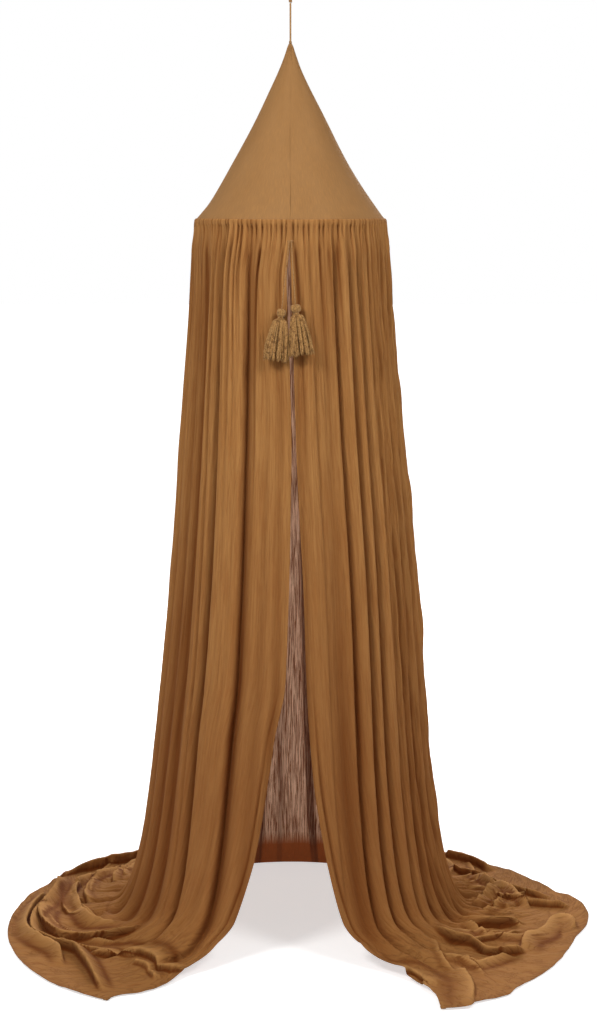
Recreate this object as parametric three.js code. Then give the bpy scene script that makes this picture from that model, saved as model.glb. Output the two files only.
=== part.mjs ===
import * as THREE from "three";

// A hanging bed canopy: a smooth cloth cone on a hoop, with a long gathered skirt that is slit at the front
// and lies on the floor in two pools. All sizes are in millimetres, and heights are measured from the floor.
// A bearing is an angle in degrees about the upright axis, from the front (-Y) towards the right (+X).

// Driving dimensions
const hangHeight = 2500;
const hoopHeight = 1889;
const coneHeight = 461;
const hoopRadius = 245;
const skirtFootRadius = 420;
const poolReach = 840;
const clothThickness = 2;
const seamGap = 0.3;

// Cone
const coneTipRadius = 5;
const coneStraightShare = 0.73;
const coneCurvedShare = 0.215;
const coneFlarePower = 8;
const coneMeetAngle = 38.7;
const coneRowShares = [0, 0.04, 0.1, 0.22, 0.4, 0.58, 0.76, 0.88, 0.95, 1];

// Hoop: rods joined by sleeves, inside a cloth tunnel that is open on its inner side
const rodRadius = 4;
const rodSides = 8;
const rodEndGap = 1;
const rodCount = 4;
const ferruleLength = 40;
const ferruleBoreRadius = 4.6;
const ferruleRadius = 5.6;
const ferruleSteps = 2;
const casingBoreRadius = 7.4;
const casingRadius = 8.6;
const casingClearance = 0.6;
const casingOpenAngle = 60;
const casingPoints = 6;
const hoopSteps = 48;

// Curtains
const seamBearing = 112;
const curtainTurnAngle = 5;
const hangShares = [0.968, 0.84, 0.62, 0.33, 0.11, 0.03];
const poolShares = [0.1, 0.4, 0.7, 1];
const skirtFlare = 75;
const skirtFlareHeight = 90;
const foldDepth = 34;
const foldGrowthHeight = 200;
const poolLoft = 10;
const poolFoldHeight = 24;
const edgeReachShare = 0.8;
const leftFoldShares = [0.11, 0.08, 0.08, 0.08, 0.11, 0.11, 0.12, 0.11, 0.1, 0.1];
const rightFoldShares = [0.05, 0.11, 0.09, 0.07, 0.08, 0.1, 0.12, 0.13, 0.13, 0.12];
const backFoldShares = [0.09, 0.08, 0.08, 0.09, 0.07, 0.08, 0.09, 0.08, 0.08, 0.09, 0.08, 0.09];
const wideFold = { atShares: [0, 0.2, 0.4, 0.6, 0.8], reachShares: [0, 0.75, 1, 1, 0.75] };
const plainFold = { atShares: [0, 0.25, 0.5, 0.75], reachShares: [0, 0.8, 1, 0.8] };

// Outline of the cloth on the floor: how far it reaches at every 15 degrees from the front round to the back
const reachStep = 15;
const leftReachShares = [0.96, 0.96, 0.965, 0.952, 0.944, 0.932, 0.9, 0.865, 0.82, 0.79, 0.78, 0.78, 0.785];
const rightReachShares = [1, 1, 1, 0.985, 0.955, 0.945, 0.95, 0.835, 0.81, 0.79, 0.78, 0.78, 0.785];

// Slit: how far its edges stand apart, as bearings
const slitDrop = 49;
const slitPartingShare = 0.794;
const slitGapBearing = 1;
const slitSpreadBearing = 15;
const slitFlareHeight = 90;
const leftSlitFlare = 10.5;
const rightSlitFlare = 8.5;

// How far the folds turn aside as they run out over the floor, as bearings
const leftEdgeSweep = 7;
const rightEdgeSweep = 6;
const sideSweep = 25;
const foldSweep = 18;

// Hanging cord, its loop and the knot that carries the cone
const cordRadius = 2.5;
const cordSides = 8;
const turnedSteps = 16;
const loopRadius = 14;
const loopSteps = 20;
const whippingRadius = 4.6;
const whippingLength = 16;
const tipBindingRadius = 4;
const tipBindingHeight = 8;
const knotRadius = 8;
const boreClearance = 0.5;

// Tassels
const tackWidth = 14;
const tackDepth = 3;
const tackHeight = 6;
const tackGap = 0.6;
const tasselCordRadius = 1.5;
const tasselCordSpacing = 5;
const headRadius = 11;
const headHeight = 19;
const headWidthShares = [0, 0.45, 0.85, 1, 0.85, 0.38, 0];
const headHeightShares = [0, 0, 0.15, 0.45, 0.68, 0.8, 1];
const neckRadius = 5;
const bindingRadius = 7;
const bindingHeight = 5;
const tasselSkirtLength = 112;
const tasselSkirtHalfWidth = 31;
const tasselSkirtWidthShares = [0, 1, 0.82, 0.55];
const tasselSkirtHeightShares = [0, 0, 0.45, 0.85];
const tasselDepthShare = 0.65;
const tasselClearance = 1;
const tasselSteps = 14;
const leftTassel = { side: "left", headX: -22, headDrop: 175, footX: -36 };
const rightTassel = { side: "right", headX: 14, headDrop: 164, footX: 29 };

const rollRadius = casingRadius + casingClearance + clothThickness;
const skirtTopRadius = hoopRadius + rollRadius;
const apexHeight = hoopHeight + coneHeight;
const slitTopHeight = hoopHeight - slitDrop;

const ochreGauze = { color: 0x9a6a3a, roughness: 0.95, metalness: 0 };
const ochreCotton = { color: 0xa87542, roughness: 0.9, metalness: 0 };
const ochreYarn = { color: 0xa87a48, roughness: 0.9, metalness: 0 };
const cottonCord = { color: 0x9b7347, roughness: 0.9, metalness: 0 };
const hoopPlastic = { color: 0xe6e2d8, roughness: 0.5, metalness: 0 };
const ferruleBrass = { color: 0xb08d4f, roughness: 0.4, metalness: 1 };

const { degToRad, radToDeg, lerp } = THREE.MathUtils;

// Heights are counted from the floor, and the part's origin is where the loop bears on its hook.
const canopy = new THREE.Group();
canopy.position.z = -hangHeight;

function addPiece(name, geometry, finish, parent = canopy) {
  const mesh = new THREE.Mesh(geometry, new THREE.MeshStandardMaterial(finish));
  mesh.name = name;
  parent.add(mesh);
  return mesh;
}

function pointAt(radius, bearing, height) {
  const angle = degToRad(bearing);
  return new THREE.Vector3(radius * Math.sin(angle), -radius * Math.cos(angle), height);
}

// A closed sheet between an outer and an inner grid of points. Both run row by row from top to bottom,
// and each row runs towards higher bearings.
function closedSheet(outer, inner) {
  const rows = outer.length;
  const columns = outer[0].length;
  const positions = [...outer.flat(), ...inner.flat()].flatMap((p) => p.toArray());
  const out = (row, column) => row * columns + column;
  const into = (row, column) => rows * columns + out(row, column);
  const faces = [];
  const quad = (a, b, c, d) => faces.push(a, b, c, a, c, d);
  for (let j = 0; j < rows - 1; j++) {
    for (let i = 0; i < columns - 1; i++) {
      quad(out(j, i), out(j + 1, i), out(j + 1, i + 1), out(j, i + 1));
      quad(into(j, i), into(j, i + 1), into(j + 1, i + 1), into(j + 1, i));
    }
  }
  for (let i = 0; i < columns - 1; i++) {
    quad(out(0, i), out(0, i + 1), into(0, i + 1), into(0, i));
    quad(out(rows - 1, i), into(rows - 1, i), into(rows - 1, i + 1), out(rows - 1, i + 1));
  }
  for (let j = 0; j < rows - 1; j++) {
    quad(out(j, 0), into(j, 0), into(j + 1, 0), out(j + 1, 0));
    quad(out(j, columns - 1), out(j + 1, columns - 1), into(j + 1, columns - 1), into(j, columns - 1));
  }
  const geometry = new THREE.BufferGeometry();
  geometry.setAttribute("position", new THREE.Float32BufferAttribute(positions, 3));
  geometry.setIndex(faces);
  geometry.computeVertexNormals();
  return geometry;
}

function ringSection(radius, sides, holeRadius = 0) {
  const corners = (r) =>
    Array.from({ length: sides }, (_, i) => {
      const angle = (2 * Math.PI * i) / sides;
      return new THREE.Vector2(r * Math.cos(angle), r * Math.sin(angle));
    });
  const section = new THREE.Shape(corners(radius));
  if (holeRadius > 0) section.holes.push(new THREE.Path(corners(holeRadius)));
  return section;
}

function tubeAlong(path, section, steps) {
  return new THREE.ExtrudeGeometry(section, { steps, bevelEnabled: false, extrudePath: path });
}

// A turned shape about the upright axis, from [radius, height] pairs listed from the bottom up.
function turned(profile, steps) {
  const points = profile.map(([radius, height]) => new THREE.Vector2(radius, height));
  return new THREE.LatheGeometry(points, steps).rotateX(Math.PI / 2);
}

class HoopArc extends THREE.Curve {
  constructor(radius, startBearing, endBearing, height) {
    super();
    Object.assign(this, { radius, startBearing, endBearing, height });
  }
  getPoint(share) {
    return pointAt(this.radius, lerp(this.startBearing, this.endBearing, share), this.height);
  }
}

// Cone: it leaves the tip nearly straight, bows outwards and flares over the hoop.
const coneEndRadius = hoopRadius + rollRadius * Math.cos(degToRad(coneMeetAngle));
const coneEndHeight = hoopHeight + rollRadius * Math.sin(degToRad(coneMeetAngle));
const coneTipSlope = ((coneEndRadius - coneTipRadius) * coneStraightShare) / (apexHeight - coneEndHeight);

function coneRadius(share) {
  const flared = 1 - coneStraightShare - coneCurvedShare;
  const spread = coneStraightShare * share + coneCurvedShare * share ** 2 + flared * share ** coneFlarePower;
  return lerp(coneTipRadius, coneEndRadius, spread);
}

function coneHalf(startBearing, endBearing) {
  const columns = hoopSteps / 2;
  const endAngle = degToRad(coneMeetAngle);
  const grid = (inset) =>
    coneRowShares.map((share) => {
      const height = lerp(apexHeight, coneEndHeight, share);
      const drop = share < 1 ? 0 : inset * Math.sin(endAngle);
      const narrowing = share < 1 ? inset : inset * Math.cos(endAngle);
      const radius = coneRadius(share) - narrowing;
      const gap = radToDeg(seamGap / 2 / radius);
      return Array.from({ length: columns + 1 }, (_, i) =>
        pointAt(radius, lerp(startBearing + gap, endBearing - gap, i / columns), height - drop),
      );
    });
  return closedSheet(grid(0), grid(clothThickness));
}

function addCone() {
  addPiece("cone_left", coneHalf(-180, 0), ochreCotton);
  addPiece("cone_right", coneHalf(0, 180), ochreCotton);
}

// Hoop
function addHoop() {
  const quarter = 360 / rodCount;
  const endGap = radToDeg(rodEndGap / 2 / hoopRadius);
  const halfFerrule = radToDeg(ferruleLength / 2 / hoopRadius);
  for (let i = 0; i < rodCount; i++) {
    const start = i * quarter;
    const rodArc = new HoopArc(hoopRadius, start + endGap, start + quarter - endGap, hoopHeight);
    const sleeveArc = new HoopArc(hoopRadius, start - halfFerrule, start + halfFerrule, hoopHeight);
    const sleeveSection = ringSection(ferruleRadius, rodSides, ferruleBoreRadius);
    const rod = tubeAlong(rodArc, ringSection(rodRadius, rodSides), hoopSteps / rodCount);
    const sleeve = tubeAlong(sleeveArc, sleeveSection, ferruleSteps);
    addPiece(`hoop_segment_${i + 1}`, rod, hoopPlastic);
    addPiece(`hoop_ferrule_${i + 1}`, sleeve, ferruleBrass);
  }
}

// The cloth tunnel round the hoop, open towards the axis.
function addHoopCasing() {
  const lipAngle = 180 - casingOpenAngle / 2;
  const arc = (radius) =>
    Array.from({ length: casingPoints }, (_, i) => {
      const angle = degToRad(lerp(-lipAngle, lipAngle, i / (casingPoints - 1)));
      return [hoopRadius + radius * Math.cos(angle), hoopHeight + radius * Math.sin(angle)];
    });
  const profile = [...arc(casingRadius), ...arc(casingBoreRadius).reverse()];
  addPiece("hoop_casing", turned([...profile, profile[0]], hoopSteps), ochreCotton);
}

// Curtains
function skirtRadius(height) {
  const slope = (skirtFootRadius - skirtTopRadius) / hoopHeight;
  return skirtTopRadius + slope * (hoopHeight - height) + skirtFlare * Math.exp(-height / skirtFlareHeight);
}

function foldDepthAt(height) {
  return foldDepth * (1 - Math.exp((height - hoopHeight) / foldGrowthHeight));
}

// The bearing of an edge of the slit at a height.
function slitBearing(height, flare) {
  if (height > slitTopHeight) return 0;
  const spread = slitSpreadBearing * Math.max(0, 1 - height / (hoopHeight * slitPartingShare));
  return slitGapBearing + spread + flare * Math.exp(-height / slitFlareHeight);
}

function poolReachAt(bearing) {
  const turn = THREE.MathUtils.euclideanModulo(bearing + 180, 360) - 180;
  const shares = turn < 0 ? leftReachShares : rightReachShares;
  const at = Math.abs(turn) / reachStep;
  const step = Math.min(Math.floor(at), shares.length - 2);
  return poolReach * lerp(shares[step], shares[step + 1], at - step);
}

// Where the columns of points stand across a curtain, and how far each lies out on its fold.
function foldColumns(curtain) {
  const columns = [];
  let start = 0;
  for (const width of curtain.foldShares) {
    curtain.fold.atShares.forEach((share, i) => {
      columns.push({ along: start + width * share, reach: curtain.fold.reachShares[i] });
    });
    start += width;
  }
  columns[0].reach = curtain.startReach;
  columns.push({ along: 1, reach: curtain.endReach });
  return columns;
}

function curtainBearing(curtain, along, height, radius, poolShare) {
  const gap = radToDeg(seamGap / 2 / radius);
  const start = curtain.startBearing(height) + gap;
  const end = curtain.endBearing(height) - gap;
  const edgeSweep = lerp(curtain.startSweep, curtain.endSweep, along);
  const sweep = edgeSweep + curtain.midSweep * Math.sin(Math.PI * along);
  return lerp(start, end, along) + sweep * poolShare ** 2;
}

// Over the hoop
function rolledRow(curtain, columns, angle, inset) {
  const radius = hoopRadius + (rollRadius - inset) * Math.cos(degToRad(angle));
  const height = hoopHeight + (rollRadius - inset) * Math.sin(degToRad(angle));
  return columns.map(({ along }) => {
    return pointAt(radius, curtainBearing(curtain, along, hoopHeight, radius, 0), height);
  });
}

function hangingRow(curtain, columns, share, inset) {
  const height = share * hoopHeight;
  return columns.map(({ along, reach }) => {
    const radius = skirtRadius(height) - foldDepthAt(height) * (1 - reach) - inset;
    return pointAt(radius, curtainBearing(curtain, along, height, radius, 0), height);
  });
}

// On the floor: the outer side follows the folds, and the inner side is the flat underside.
function floorRow(curtain, columns, share, inset) {
  const foot = skirtRadius(0);
  return columns.map(({ along, reach }) => {
    const reachBearing = curtainBearing(curtain, along, 0, foot, share);
    const radius = lerp(foot, poolReachAt(reachBearing), share);
    const top = clothThickness + (poolLoft + poolFoldHeight * reach) * (1 - share);
    return pointAt(radius, curtainBearing(curtain, along, 0, radius, share), inset > 0 ? 0 : top);
  });
}

function curtainSheet(curtain) {
  const columns = foldColumns(curtain);
  const topAngle = coneMeetAngle - radToDeg(casingClearance / rollRadius);
  const grid = (inset) => [
    rolledRow(curtain, columns, topAngle, inset),
    rolledRow(curtain, columns, curtainTurnAngle, inset),
    ...hangShares.map((share) => hangingRow(curtain, columns, share, inset)),
    ...poolShares.map((share) => floorRow(curtain, columns, share, inset)),
  ];
  return closedSheet(grid(0), grid(clothThickness));
}

function addCurtains() {
  const left = {
    startBearing: () => -seamBearing,
    endBearing: (height) => -slitBearing(height, leftSlitFlare),
    startSweep: -sideSweep,
    endSweep: -leftEdgeSweep,
    midSweep: -foldSweep,
    foldShares: leftFoldShares.toReversed(),
    fold: wideFold,
    startReach: 0,
    endReach: edgeReachShare,
  };
  const right = {
    startBearing: (height) => slitBearing(height, rightSlitFlare),
    endBearing: () => seamBearing,
    startSweep: rightEdgeSweep,
    endSweep: sideSweep,
    midSweep: foldSweep,
    foldShares: rightFoldShares,
    fold: wideFold,
    startReach: edgeReachShare,
    endReach: 0,
  };
  const back = {
    startBearing: () => seamBearing,
    endBearing: () => 360 - seamBearing,
    startSweep: sideSweep,
    endSweep: -sideSweep,
    midSweep: 0,
    foldShares: backFoldShares,
    fold: plainFold,
    startReach: 0,
    endReach: 0,
  };
  addPiece("left_curtain", curtainSheet(left), ochreGauze);
  addPiece("right_curtain", curtainSheet(right), ochreGauze);
  addPiece("back_curtain", curtainSheet(back), ochreGauze);
}

// Hanging cord: a knot under the tip carries the cone, and the upper end is spliced into a loop.
function addHangingCord() {
  const loopCentre = hangHeight - loopRadius + cordRadius;
  const whippingTop = loopCentre - loopRadius - cordRadius - seamGap;
  const cordTop = whippingTop - whippingLength - seamGap;
  const knotBite = (knotRadius + seamGap) / Math.cos(Math.atan(coneTipSlope));
  const knotDepth = (knotBite - coneTipRadius + clothThickness) / coneTipSlope;
  const knotCentre = apexHeight - knotDepth;
  const cordFoot = knotCentre + knotRadius + seamGap;
  const cordPath = new THREE.LineCurve3(
    new THREE.Vector3(0, 0, cordFoot),
    new THREE.Vector3(0, 0, cordTop),
  );
  addPiece("hanging_cord", tubeAlong(cordPath, ringSection(cordRadius, cordSides), 1), cottonCord);

  const loop = new THREE.TorusGeometry(loopRadius, cordRadius, cordSides, loopSteps).rotateX(Math.PI / 2);
  addPiece("hanging_loop", loop, cottonCord).position.z = loopCentre;

  const whipping = turned(
    [
      [0, 0],
      [cordRadius, 0],
      [whippingRadius, cordRadius],
      [whippingRadius, whippingLength - cordRadius],
      [cordRadius, whippingLength],
      [0, whippingLength],
    ],
    turnedSteps,
  );
  addPiece("loop_whipping", whipping, cottonCord).position.z = whippingTop - whippingLength;

  const knot = new THREE.SphereGeometry(knotRadius, turnedSteps, cordSides).rotateX(Math.PI / 2);
  addPiece("stopper_knot", knot, cottonCord).position.z = knotCentre;

  const bore = cordRadius + boreClearance;
  const binding = turned(
    [
      [bore, 0],
      [tipBindingRadius, 0],
      [tipBindingRadius, tipBindingHeight],
      [bore, tipBindingHeight],
      [bore, 0],
    ],
    turnedSteps,
  );
  addPiece("cone_tip_binding", binding, cottonCord).position.z = apexHeight + seamGap;
}

// The stitched end of the slit, from which both tassels hang. It lies on the edges of the front curtains.
const slitEdgeRadius = skirtRadius(slitTopHeight) - foldDepthAt(slitTopHeight) * (1 - edgeReachShare);
const tackReach = slitEdgeRadius + tackGap;
const tackCentreHeight = slitTopHeight + tackHeight / 2;

function addSlitTack() {
  const tack = new THREE.BoxGeometry(tackWidth, tackDepth, tackHeight);
  addPiece("slit_tack", tack, cottonCord).position.set(0, -tackReach - tackDepth / 2, tackCentreHeight);
}

// A tassel: a wound head on its cord, a neck tied with thread, and a flared skirt of yarn.
function addTassel({ side, headX, headDrop, footX }) {
  const headZ = slitTopHeight - headDrop;
  const footZ = headZ - headHeight / 2 - tasselSkirtLength;
  const headY = -(skirtRadius(headZ) + tasselClearance + headRadius);
  const footY = -(skirtRadius(footZ) + tasselClearance + tasselSkirtHalfWidth * tasselDepthShare);
  const head = new THREE.Vector3(headX, headY, headZ);
  const foot = new THREE.Vector3(footX, footY, footZ);
  const tassel = new THREE.Group();
  const down = new THREE.Vector3(0, 0, -1);
  tassel.position.copy(head);
  tassel.quaternion.setFromUnitVectors(down, foot.clone().sub(head).normalize());
  canopy.add(tassel);

  // The head comes to a point at its cord, so that it can tip forward there.
  const halfHead = headHeight / 2;
  const ball = turned(
    headWidthShares.map((share, i) => [headRadius * share, lerp(-halfHead, halfHead, headHeightShares[i])]),
    tasselSteps,
  );
  addPiece(`${side}_tassel_head`, ball, ochreYarn, tassel);

  const neckTop = -halfHead - seamGap;
  const bindingFoot = neckTop - bindingHeight;
  const bindingBore = neckRadius + boreClearance;
  const binding = turned(
    [
      [bindingBore, bindingFoot],
      [bindingRadius, bindingFoot],
      [bindingRadius, neckTop],
      [bindingBore, neckTop],
      [bindingBore, bindingFoot],
    ],
    tasselSteps,
  );
  addPiece(`${side}_tassel_binding`, binding, ochreYarn, tassel);

  const shoulder = bindingFoot - seamGap;
  const bottom = neckTop - tasselSkirtLength;
  const skirt = turned(
    [
      ...tasselSkirtWidthShares.map((share, i) => [
        tasselSkirtHalfWidth * share,
        lerp(bottom, shoulder, tasselSkirtHeightShares[i]),
      ]),
      [bindingRadius, shoulder],
      [neckRadius, shoulder],
      [neckRadius, neckTop],
      [0, neckTop],
    ],
    tasselSteps,
  ).scale(1, tasselDepthShare, 1);
  addPiece(`${side}_tassel_skirt`, skirt, ochreYarn, tassel);

  const inward = Math.sign(headX);
  const cordTop = new THREE.Vector3(
    (inward * tasselCordSpacing) / 2,
    -(tackReach + tackDepth + seamGap + tasselCordRadius),
    tackCentreHeight,
  );
  const cordEnd = foot.clone().sub(head).normalize().multiplyScalar(-halfHead - seamGap).add(head);
  const cord = tubeAlong(new THREE.LineCurve3(cordTop, cordEnd), ringSection(tasselCordRadius, cordSides), 1);
  addPiece(`${side}_tassel_cord`, cord, cottonCord);
}

addHangingCord();
addCone();
addHoop();
addHoopCasing();
addCurtains();
addSlitTack();
addTassel(leftTassel);
addTassel(rightTassel);

const part = new THREE.Group();
part.add(canopy);

export default part;
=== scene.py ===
import math

import bpy
import numpy as np
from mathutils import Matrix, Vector


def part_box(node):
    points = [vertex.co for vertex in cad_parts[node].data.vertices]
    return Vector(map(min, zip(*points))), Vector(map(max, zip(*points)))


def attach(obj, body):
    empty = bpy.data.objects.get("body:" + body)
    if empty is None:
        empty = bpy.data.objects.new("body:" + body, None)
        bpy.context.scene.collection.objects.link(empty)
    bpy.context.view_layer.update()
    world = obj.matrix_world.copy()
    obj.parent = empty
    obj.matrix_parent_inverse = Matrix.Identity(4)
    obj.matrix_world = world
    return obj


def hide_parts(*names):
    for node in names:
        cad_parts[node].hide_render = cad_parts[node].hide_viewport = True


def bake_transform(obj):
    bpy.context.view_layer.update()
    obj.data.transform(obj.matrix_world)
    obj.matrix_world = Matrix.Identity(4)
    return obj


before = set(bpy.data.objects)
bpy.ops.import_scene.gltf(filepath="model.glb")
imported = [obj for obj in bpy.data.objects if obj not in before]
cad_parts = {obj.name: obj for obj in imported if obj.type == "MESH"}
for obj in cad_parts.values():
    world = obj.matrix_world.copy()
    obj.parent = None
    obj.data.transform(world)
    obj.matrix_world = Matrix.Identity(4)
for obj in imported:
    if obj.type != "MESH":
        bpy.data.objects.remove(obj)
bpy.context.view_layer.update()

# Sizes are in metres. A height is counted from the floor, and a bearing is an angle in degrees about the
# canopy's axis, from the front (-Y) towards the side that a curtain lies on.

# Taken from the frame
floor_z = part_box("left_curtain")[0].z
hoop_low, hoop_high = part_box("hoop_segment_1")
hoop_height = (hoop_low.z + hoop_high.z) / 2 - floor_z
rod_radius = (hoop_high.z - hoop_low.z) / 2
hoop_radius = hoop_high.x - rod_radius
casing_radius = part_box("hoop_casing")[1].x - hoop_radius
cone_tip_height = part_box("cone_left")[1].z - floor_z

# Cloth
roll_gap = 0.0016
roll_radius = casing_radius + roll_gap
roll_top_angle = 35.6
roll_foot_angle = 8
skirt_top_radius = hoop_radius + roll_radius
skirt_foot_radius = 0.42
pool_reach = 0.84
pool_bulge = 18
cloth_width = 1.0
cloth_length = 2.33
cloth_rise = 0.003
cloth_thickness = 0.0016
hem_depth = 0.014
edge_depth = 0.012
edge_strip = 0.02
seam_bearing = 112
seam_side_rise = 26
seam_sweep = 10
bend_width = 0.034
front_bend_width = 0.03
back_bend_width = 0.024
foot_flare = 0.07
flare_height = 0.13
skirt_bow = 0.0075
skirt_bow_height = 0.95
skirt_bow_reach = 0.45

# Folds
fold_depth = 0.04
fold_growth = 0.1
fold_wander = 0.35
wander_lengths = (1.2, 2.4)
fold_drift = 0.4
fold_lean = 0.0055
crack_share = 0.65
crack_width = 0.0055
crack_reach = 0.016
proud_width = 0.006
proud_place = 1.15
gentle_width = 0.03
crack_sharpness = 1.7
gentle_sharpness = 1.25
small_sharpness = 1.8
valley_merging = 4
edge_fold = dict(place=0.026, depth=0.011, near=0.005, far=0.011, sharpness=1.5, grows=(0.8, 1.5))
folds_end = (0.02, 0.28)
sinks_between = (0.002, 0.014)
puckers_grow = (0.0, 0.018)
puckers_fade = (0.02, 0.09)
pucker_height = 0.002
upper_fullness = 0.009
fullness_fade = 0.35
crinkle_depth = 0.0013
back_crinkles = 0.6
seam_width = 0.014

# Shade of the folds, painted where they are deep
main_shade_depth = 0.03
main_shade_loss = 0.35
main_shade_share = 0.8
main_shade_power = 1.4
small_shade_depth = 0.0135
small_shade_power = 1.85
crinkle_shade_share = 0.2

# The cloth on the floor
floor_softness = 0.002
swell_height = 0.002
swell_length = 0.16
wrinkle_height = 0.0008
wrinkle_length = 0.045
ridge_growth = 1.2
ridge_lean = 0.5
ridge_shadow = 0.002
ridge_shade = 1.5
deep_ridge = 0.02

# Mesh of a curtain
front_columns = 325
back_columns = 300
roll_row_count = 7
hem_rounding = 13
route_fineness = 20
row_steps = [(0.0, 0.12, 0.004), (0.12, 1.5, 0.015), (1.5, 2.31, 0.0048)]

# Camera
camera_place = Vector((0.021, -5.505, -0.597))
camera_pitch = 8.04
camera_lens = 73.06


def smooth(low, high, x):
    """0 below low, 1 above high, with soft ends."""
    t = np.clip((x - low) / (high - low), 0, 1)
    return t * t * (3 - 2 * t)


def soft_ramp(x, width):
    """x where it is well above 0, and 0 where it is well below, rounded over the width."""
    return width * np.logaddexp(0, x / width)


def ripples(x, y, wavelength, seed, count=9, spread=math.pi / 2):
    """Even noise between about -1 and 1, made of waves that run within the spread's angle of the X axis."""
    waves = np.random.default_rng(seed)
    total = np.zeros(np.broadcast(x, y).shape)
    for _ in range(count):
        angle = waves.uniform(-spread, spread)
        length = wavelength * waves.uniform(0.7, 1.5)
        phase = waves.uniform(0, 2 * math.pi)
        total += np.sin(2 * math.pi * (x * math.cos(angle) + y * math.sin(angle)) / length + phase)
    return total / math.sqrt(count)


def in_scene(name, data):
    made = bpy.data.objects.new(name, data)
    bpy.context.scene.collection.objects.link(made)
    return made


def unit(rows):
    """Each row of a list of vectors, made 1 long."""
    return rows / (np.linalg.norm(rows, axis=1)[:, None] + 1e-9)


def round_axis(radius, angle, height):
    """Points at an angle about the canopy's axis, from the front, and at a height above the floor."""
    return np.stack([radius * np.sin(angle), -radius * np.cos(angle), height + floor_z], axis=-1)


def grid_mesh(name, points, uv, flip=False, closed=False):
    """A mesh from rows and columns of points with their UV. closed joins the last column to the first."""
    rows, cols = points.shape[:2]
    index = np.arange(rows * cols).reshape(rows, cols)
    right = np.roll(index, -1, axis=1)
    if not closed:
        index, right = index[:, :-1], right[:, :-1]
    quads = np.stack([index[:-1], index[1:], right[1:], right[:-1]], axis=-1).reshape(-1, 4)
    if flip:
        quads = quads[:, ::-1]
    mesh = bpy.data.meshes.new(name)
    mesh.from_pydata(points.reshape(-1, 3).tolist(), [], quads.tolist())
    layer = mesh.uv_layers.new(name="cloth")
    layer.data.foreach_set("uv", uv.reshape(-1, 2)[quads.reshape(-1)].astype(np.float32).reshape(-1))
    mesh.shade_smooth()
    return in_scene(name, mesh)


def joined(name, parts):
    """One mesh from several lists of (vertices, faces)."""
    vertices, faces = [], []
    for points, polygons in parts:
        faces += [[len(vertices) + i for i in polygon] for polygon in polygons]
        vertices += [tuple(p) for p in points]
    mesh = bpy.data.meshes.new(name)
    mesh.from_pydata(vertices, [], faces)
    mesh.shade_smooth()
    return in_scene(name, mesh)


# Materials


class Nodes:
    """A material's node tree, with a short way to add nodes and join them."""

    def __init__(self, name, roughness, sheen):
        self.material = bpy.data.materials.new(name)
        self.material.use_nodes = True
        self.tree = self.material.node_tree
        self.surface = self.tree.nodes["Principled BSDF"]
        self.surface.inputs["Roughness"].default_value = roughness
        self.surface.inputs["Sheen Weight"].default_value = sheen
        self.surface.inputs["Sheen Roughness"].default_value = 0.5
        self.surface.inputs["Specular IOR Level"].default_value = 0.2

    def add(self, kind, settings=None, **inputs):
        made = self.tree.nodes.new("ShaderNode" + kind)
        for key, value in (settings or {}).items():
            setattr(made, key, value)
        for key, value in inputs.items():
            self.set(made.inputs[key.replace("_", " ")], value)
        return made

    def set(self, socket, value):
        if isinstance(value, bpy.types.NodeSocket):
            self.tree.links.new(value, socket)
        else:
            socket.default_value = value

    def stretched(self, source, across, along):
        """The source point, scaled so that noise on it is fine across and long along the cloth."""
        return self.add("Mapping", Vector=source, Scale=(across, along, 1)).outputs["Vector"]

    def noise(self, point, scale=1.0, detail=3.0, roughness=0.55, distortion=0.0):
        made = self.add("TexNoise", Vector=point, Scale=scale, Detail=detail, Roughness=roughness)
        made.inputs["Distortion"].default_value = distortion
        return made.outputs["Fac"]

    def maths(self, operation, a, b=0.0, c=0.0):
        made = self.add("Math", {"operation": operation})
        for socket, value in zip(made.inputs, (a, b, c)):
            self.set(socket, value)
        return made.outputs["Value"]

    def ramp(self, value, low, high):
        return self.add("MapRange", Value=value, From_Min=low, From_Max=high).outputs["Result"]

    def weaken(self, value, share):
        return self.maths("MULTIPLY", value, share)

    def lines(self, noise, width):
        """Thin lines where the noise crosses its middle value: 1 on the line, 0 beside it."""
        return self.ramp(self.maths("ABSOLUTE", self.maths("SUBTRACT", noise, 0.5)), width, 0.0)

    def parts(self, point):
        made = self.add("SeparateXYZ", Vector=point)
        return made.outputs["X"], made.outputs["Y"]

    def mix(self, share, first, second):
        made = self.add("Mix", {"data_type": "RGBA"})
        self.set(made.inputs[0], share)
        self.set(made.inputs[6], first)
        self.set(made.inputs[7], second)
        return made.outputs[2]

    def bump(self, height, distance, strength=1.0):
        made = self.add("Bump", Height=height, Distance=distance, Strength=strength)
        self.set(self.surface.inputs["Normal"], made.outputs["Normal"])

    def colour(self, value):
        self.set(self.surface.inputs["Base Color"], value)
        return self.material

    def let_light_through(self, share, colour):
        """Thin cloth: some of the light that falls on one side shows on the other."""
        glow = self.add("BsdfTranslucent")
        self.set(glow.inputs["Color"], colour)
        both = self.add("MixShader")
        self.set(both.inputs[0], share)
        self.set(both.inputs[1], self.surface.outputs[0])
        self.set(both.inputs[2], glow.outputs[0])
        self.set(self.tree.nodes["Material Output"].inputs["Surface"], both.outputs[0])


def rgb(red, green, blue):
    """A colour given as 0 to 255 in sRGB."""
    linear = [((c / 255 + 0.055) / 1.055) ** 2.4 for c in (red, green, blue)]
    return (*linear, 1.0)


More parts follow.
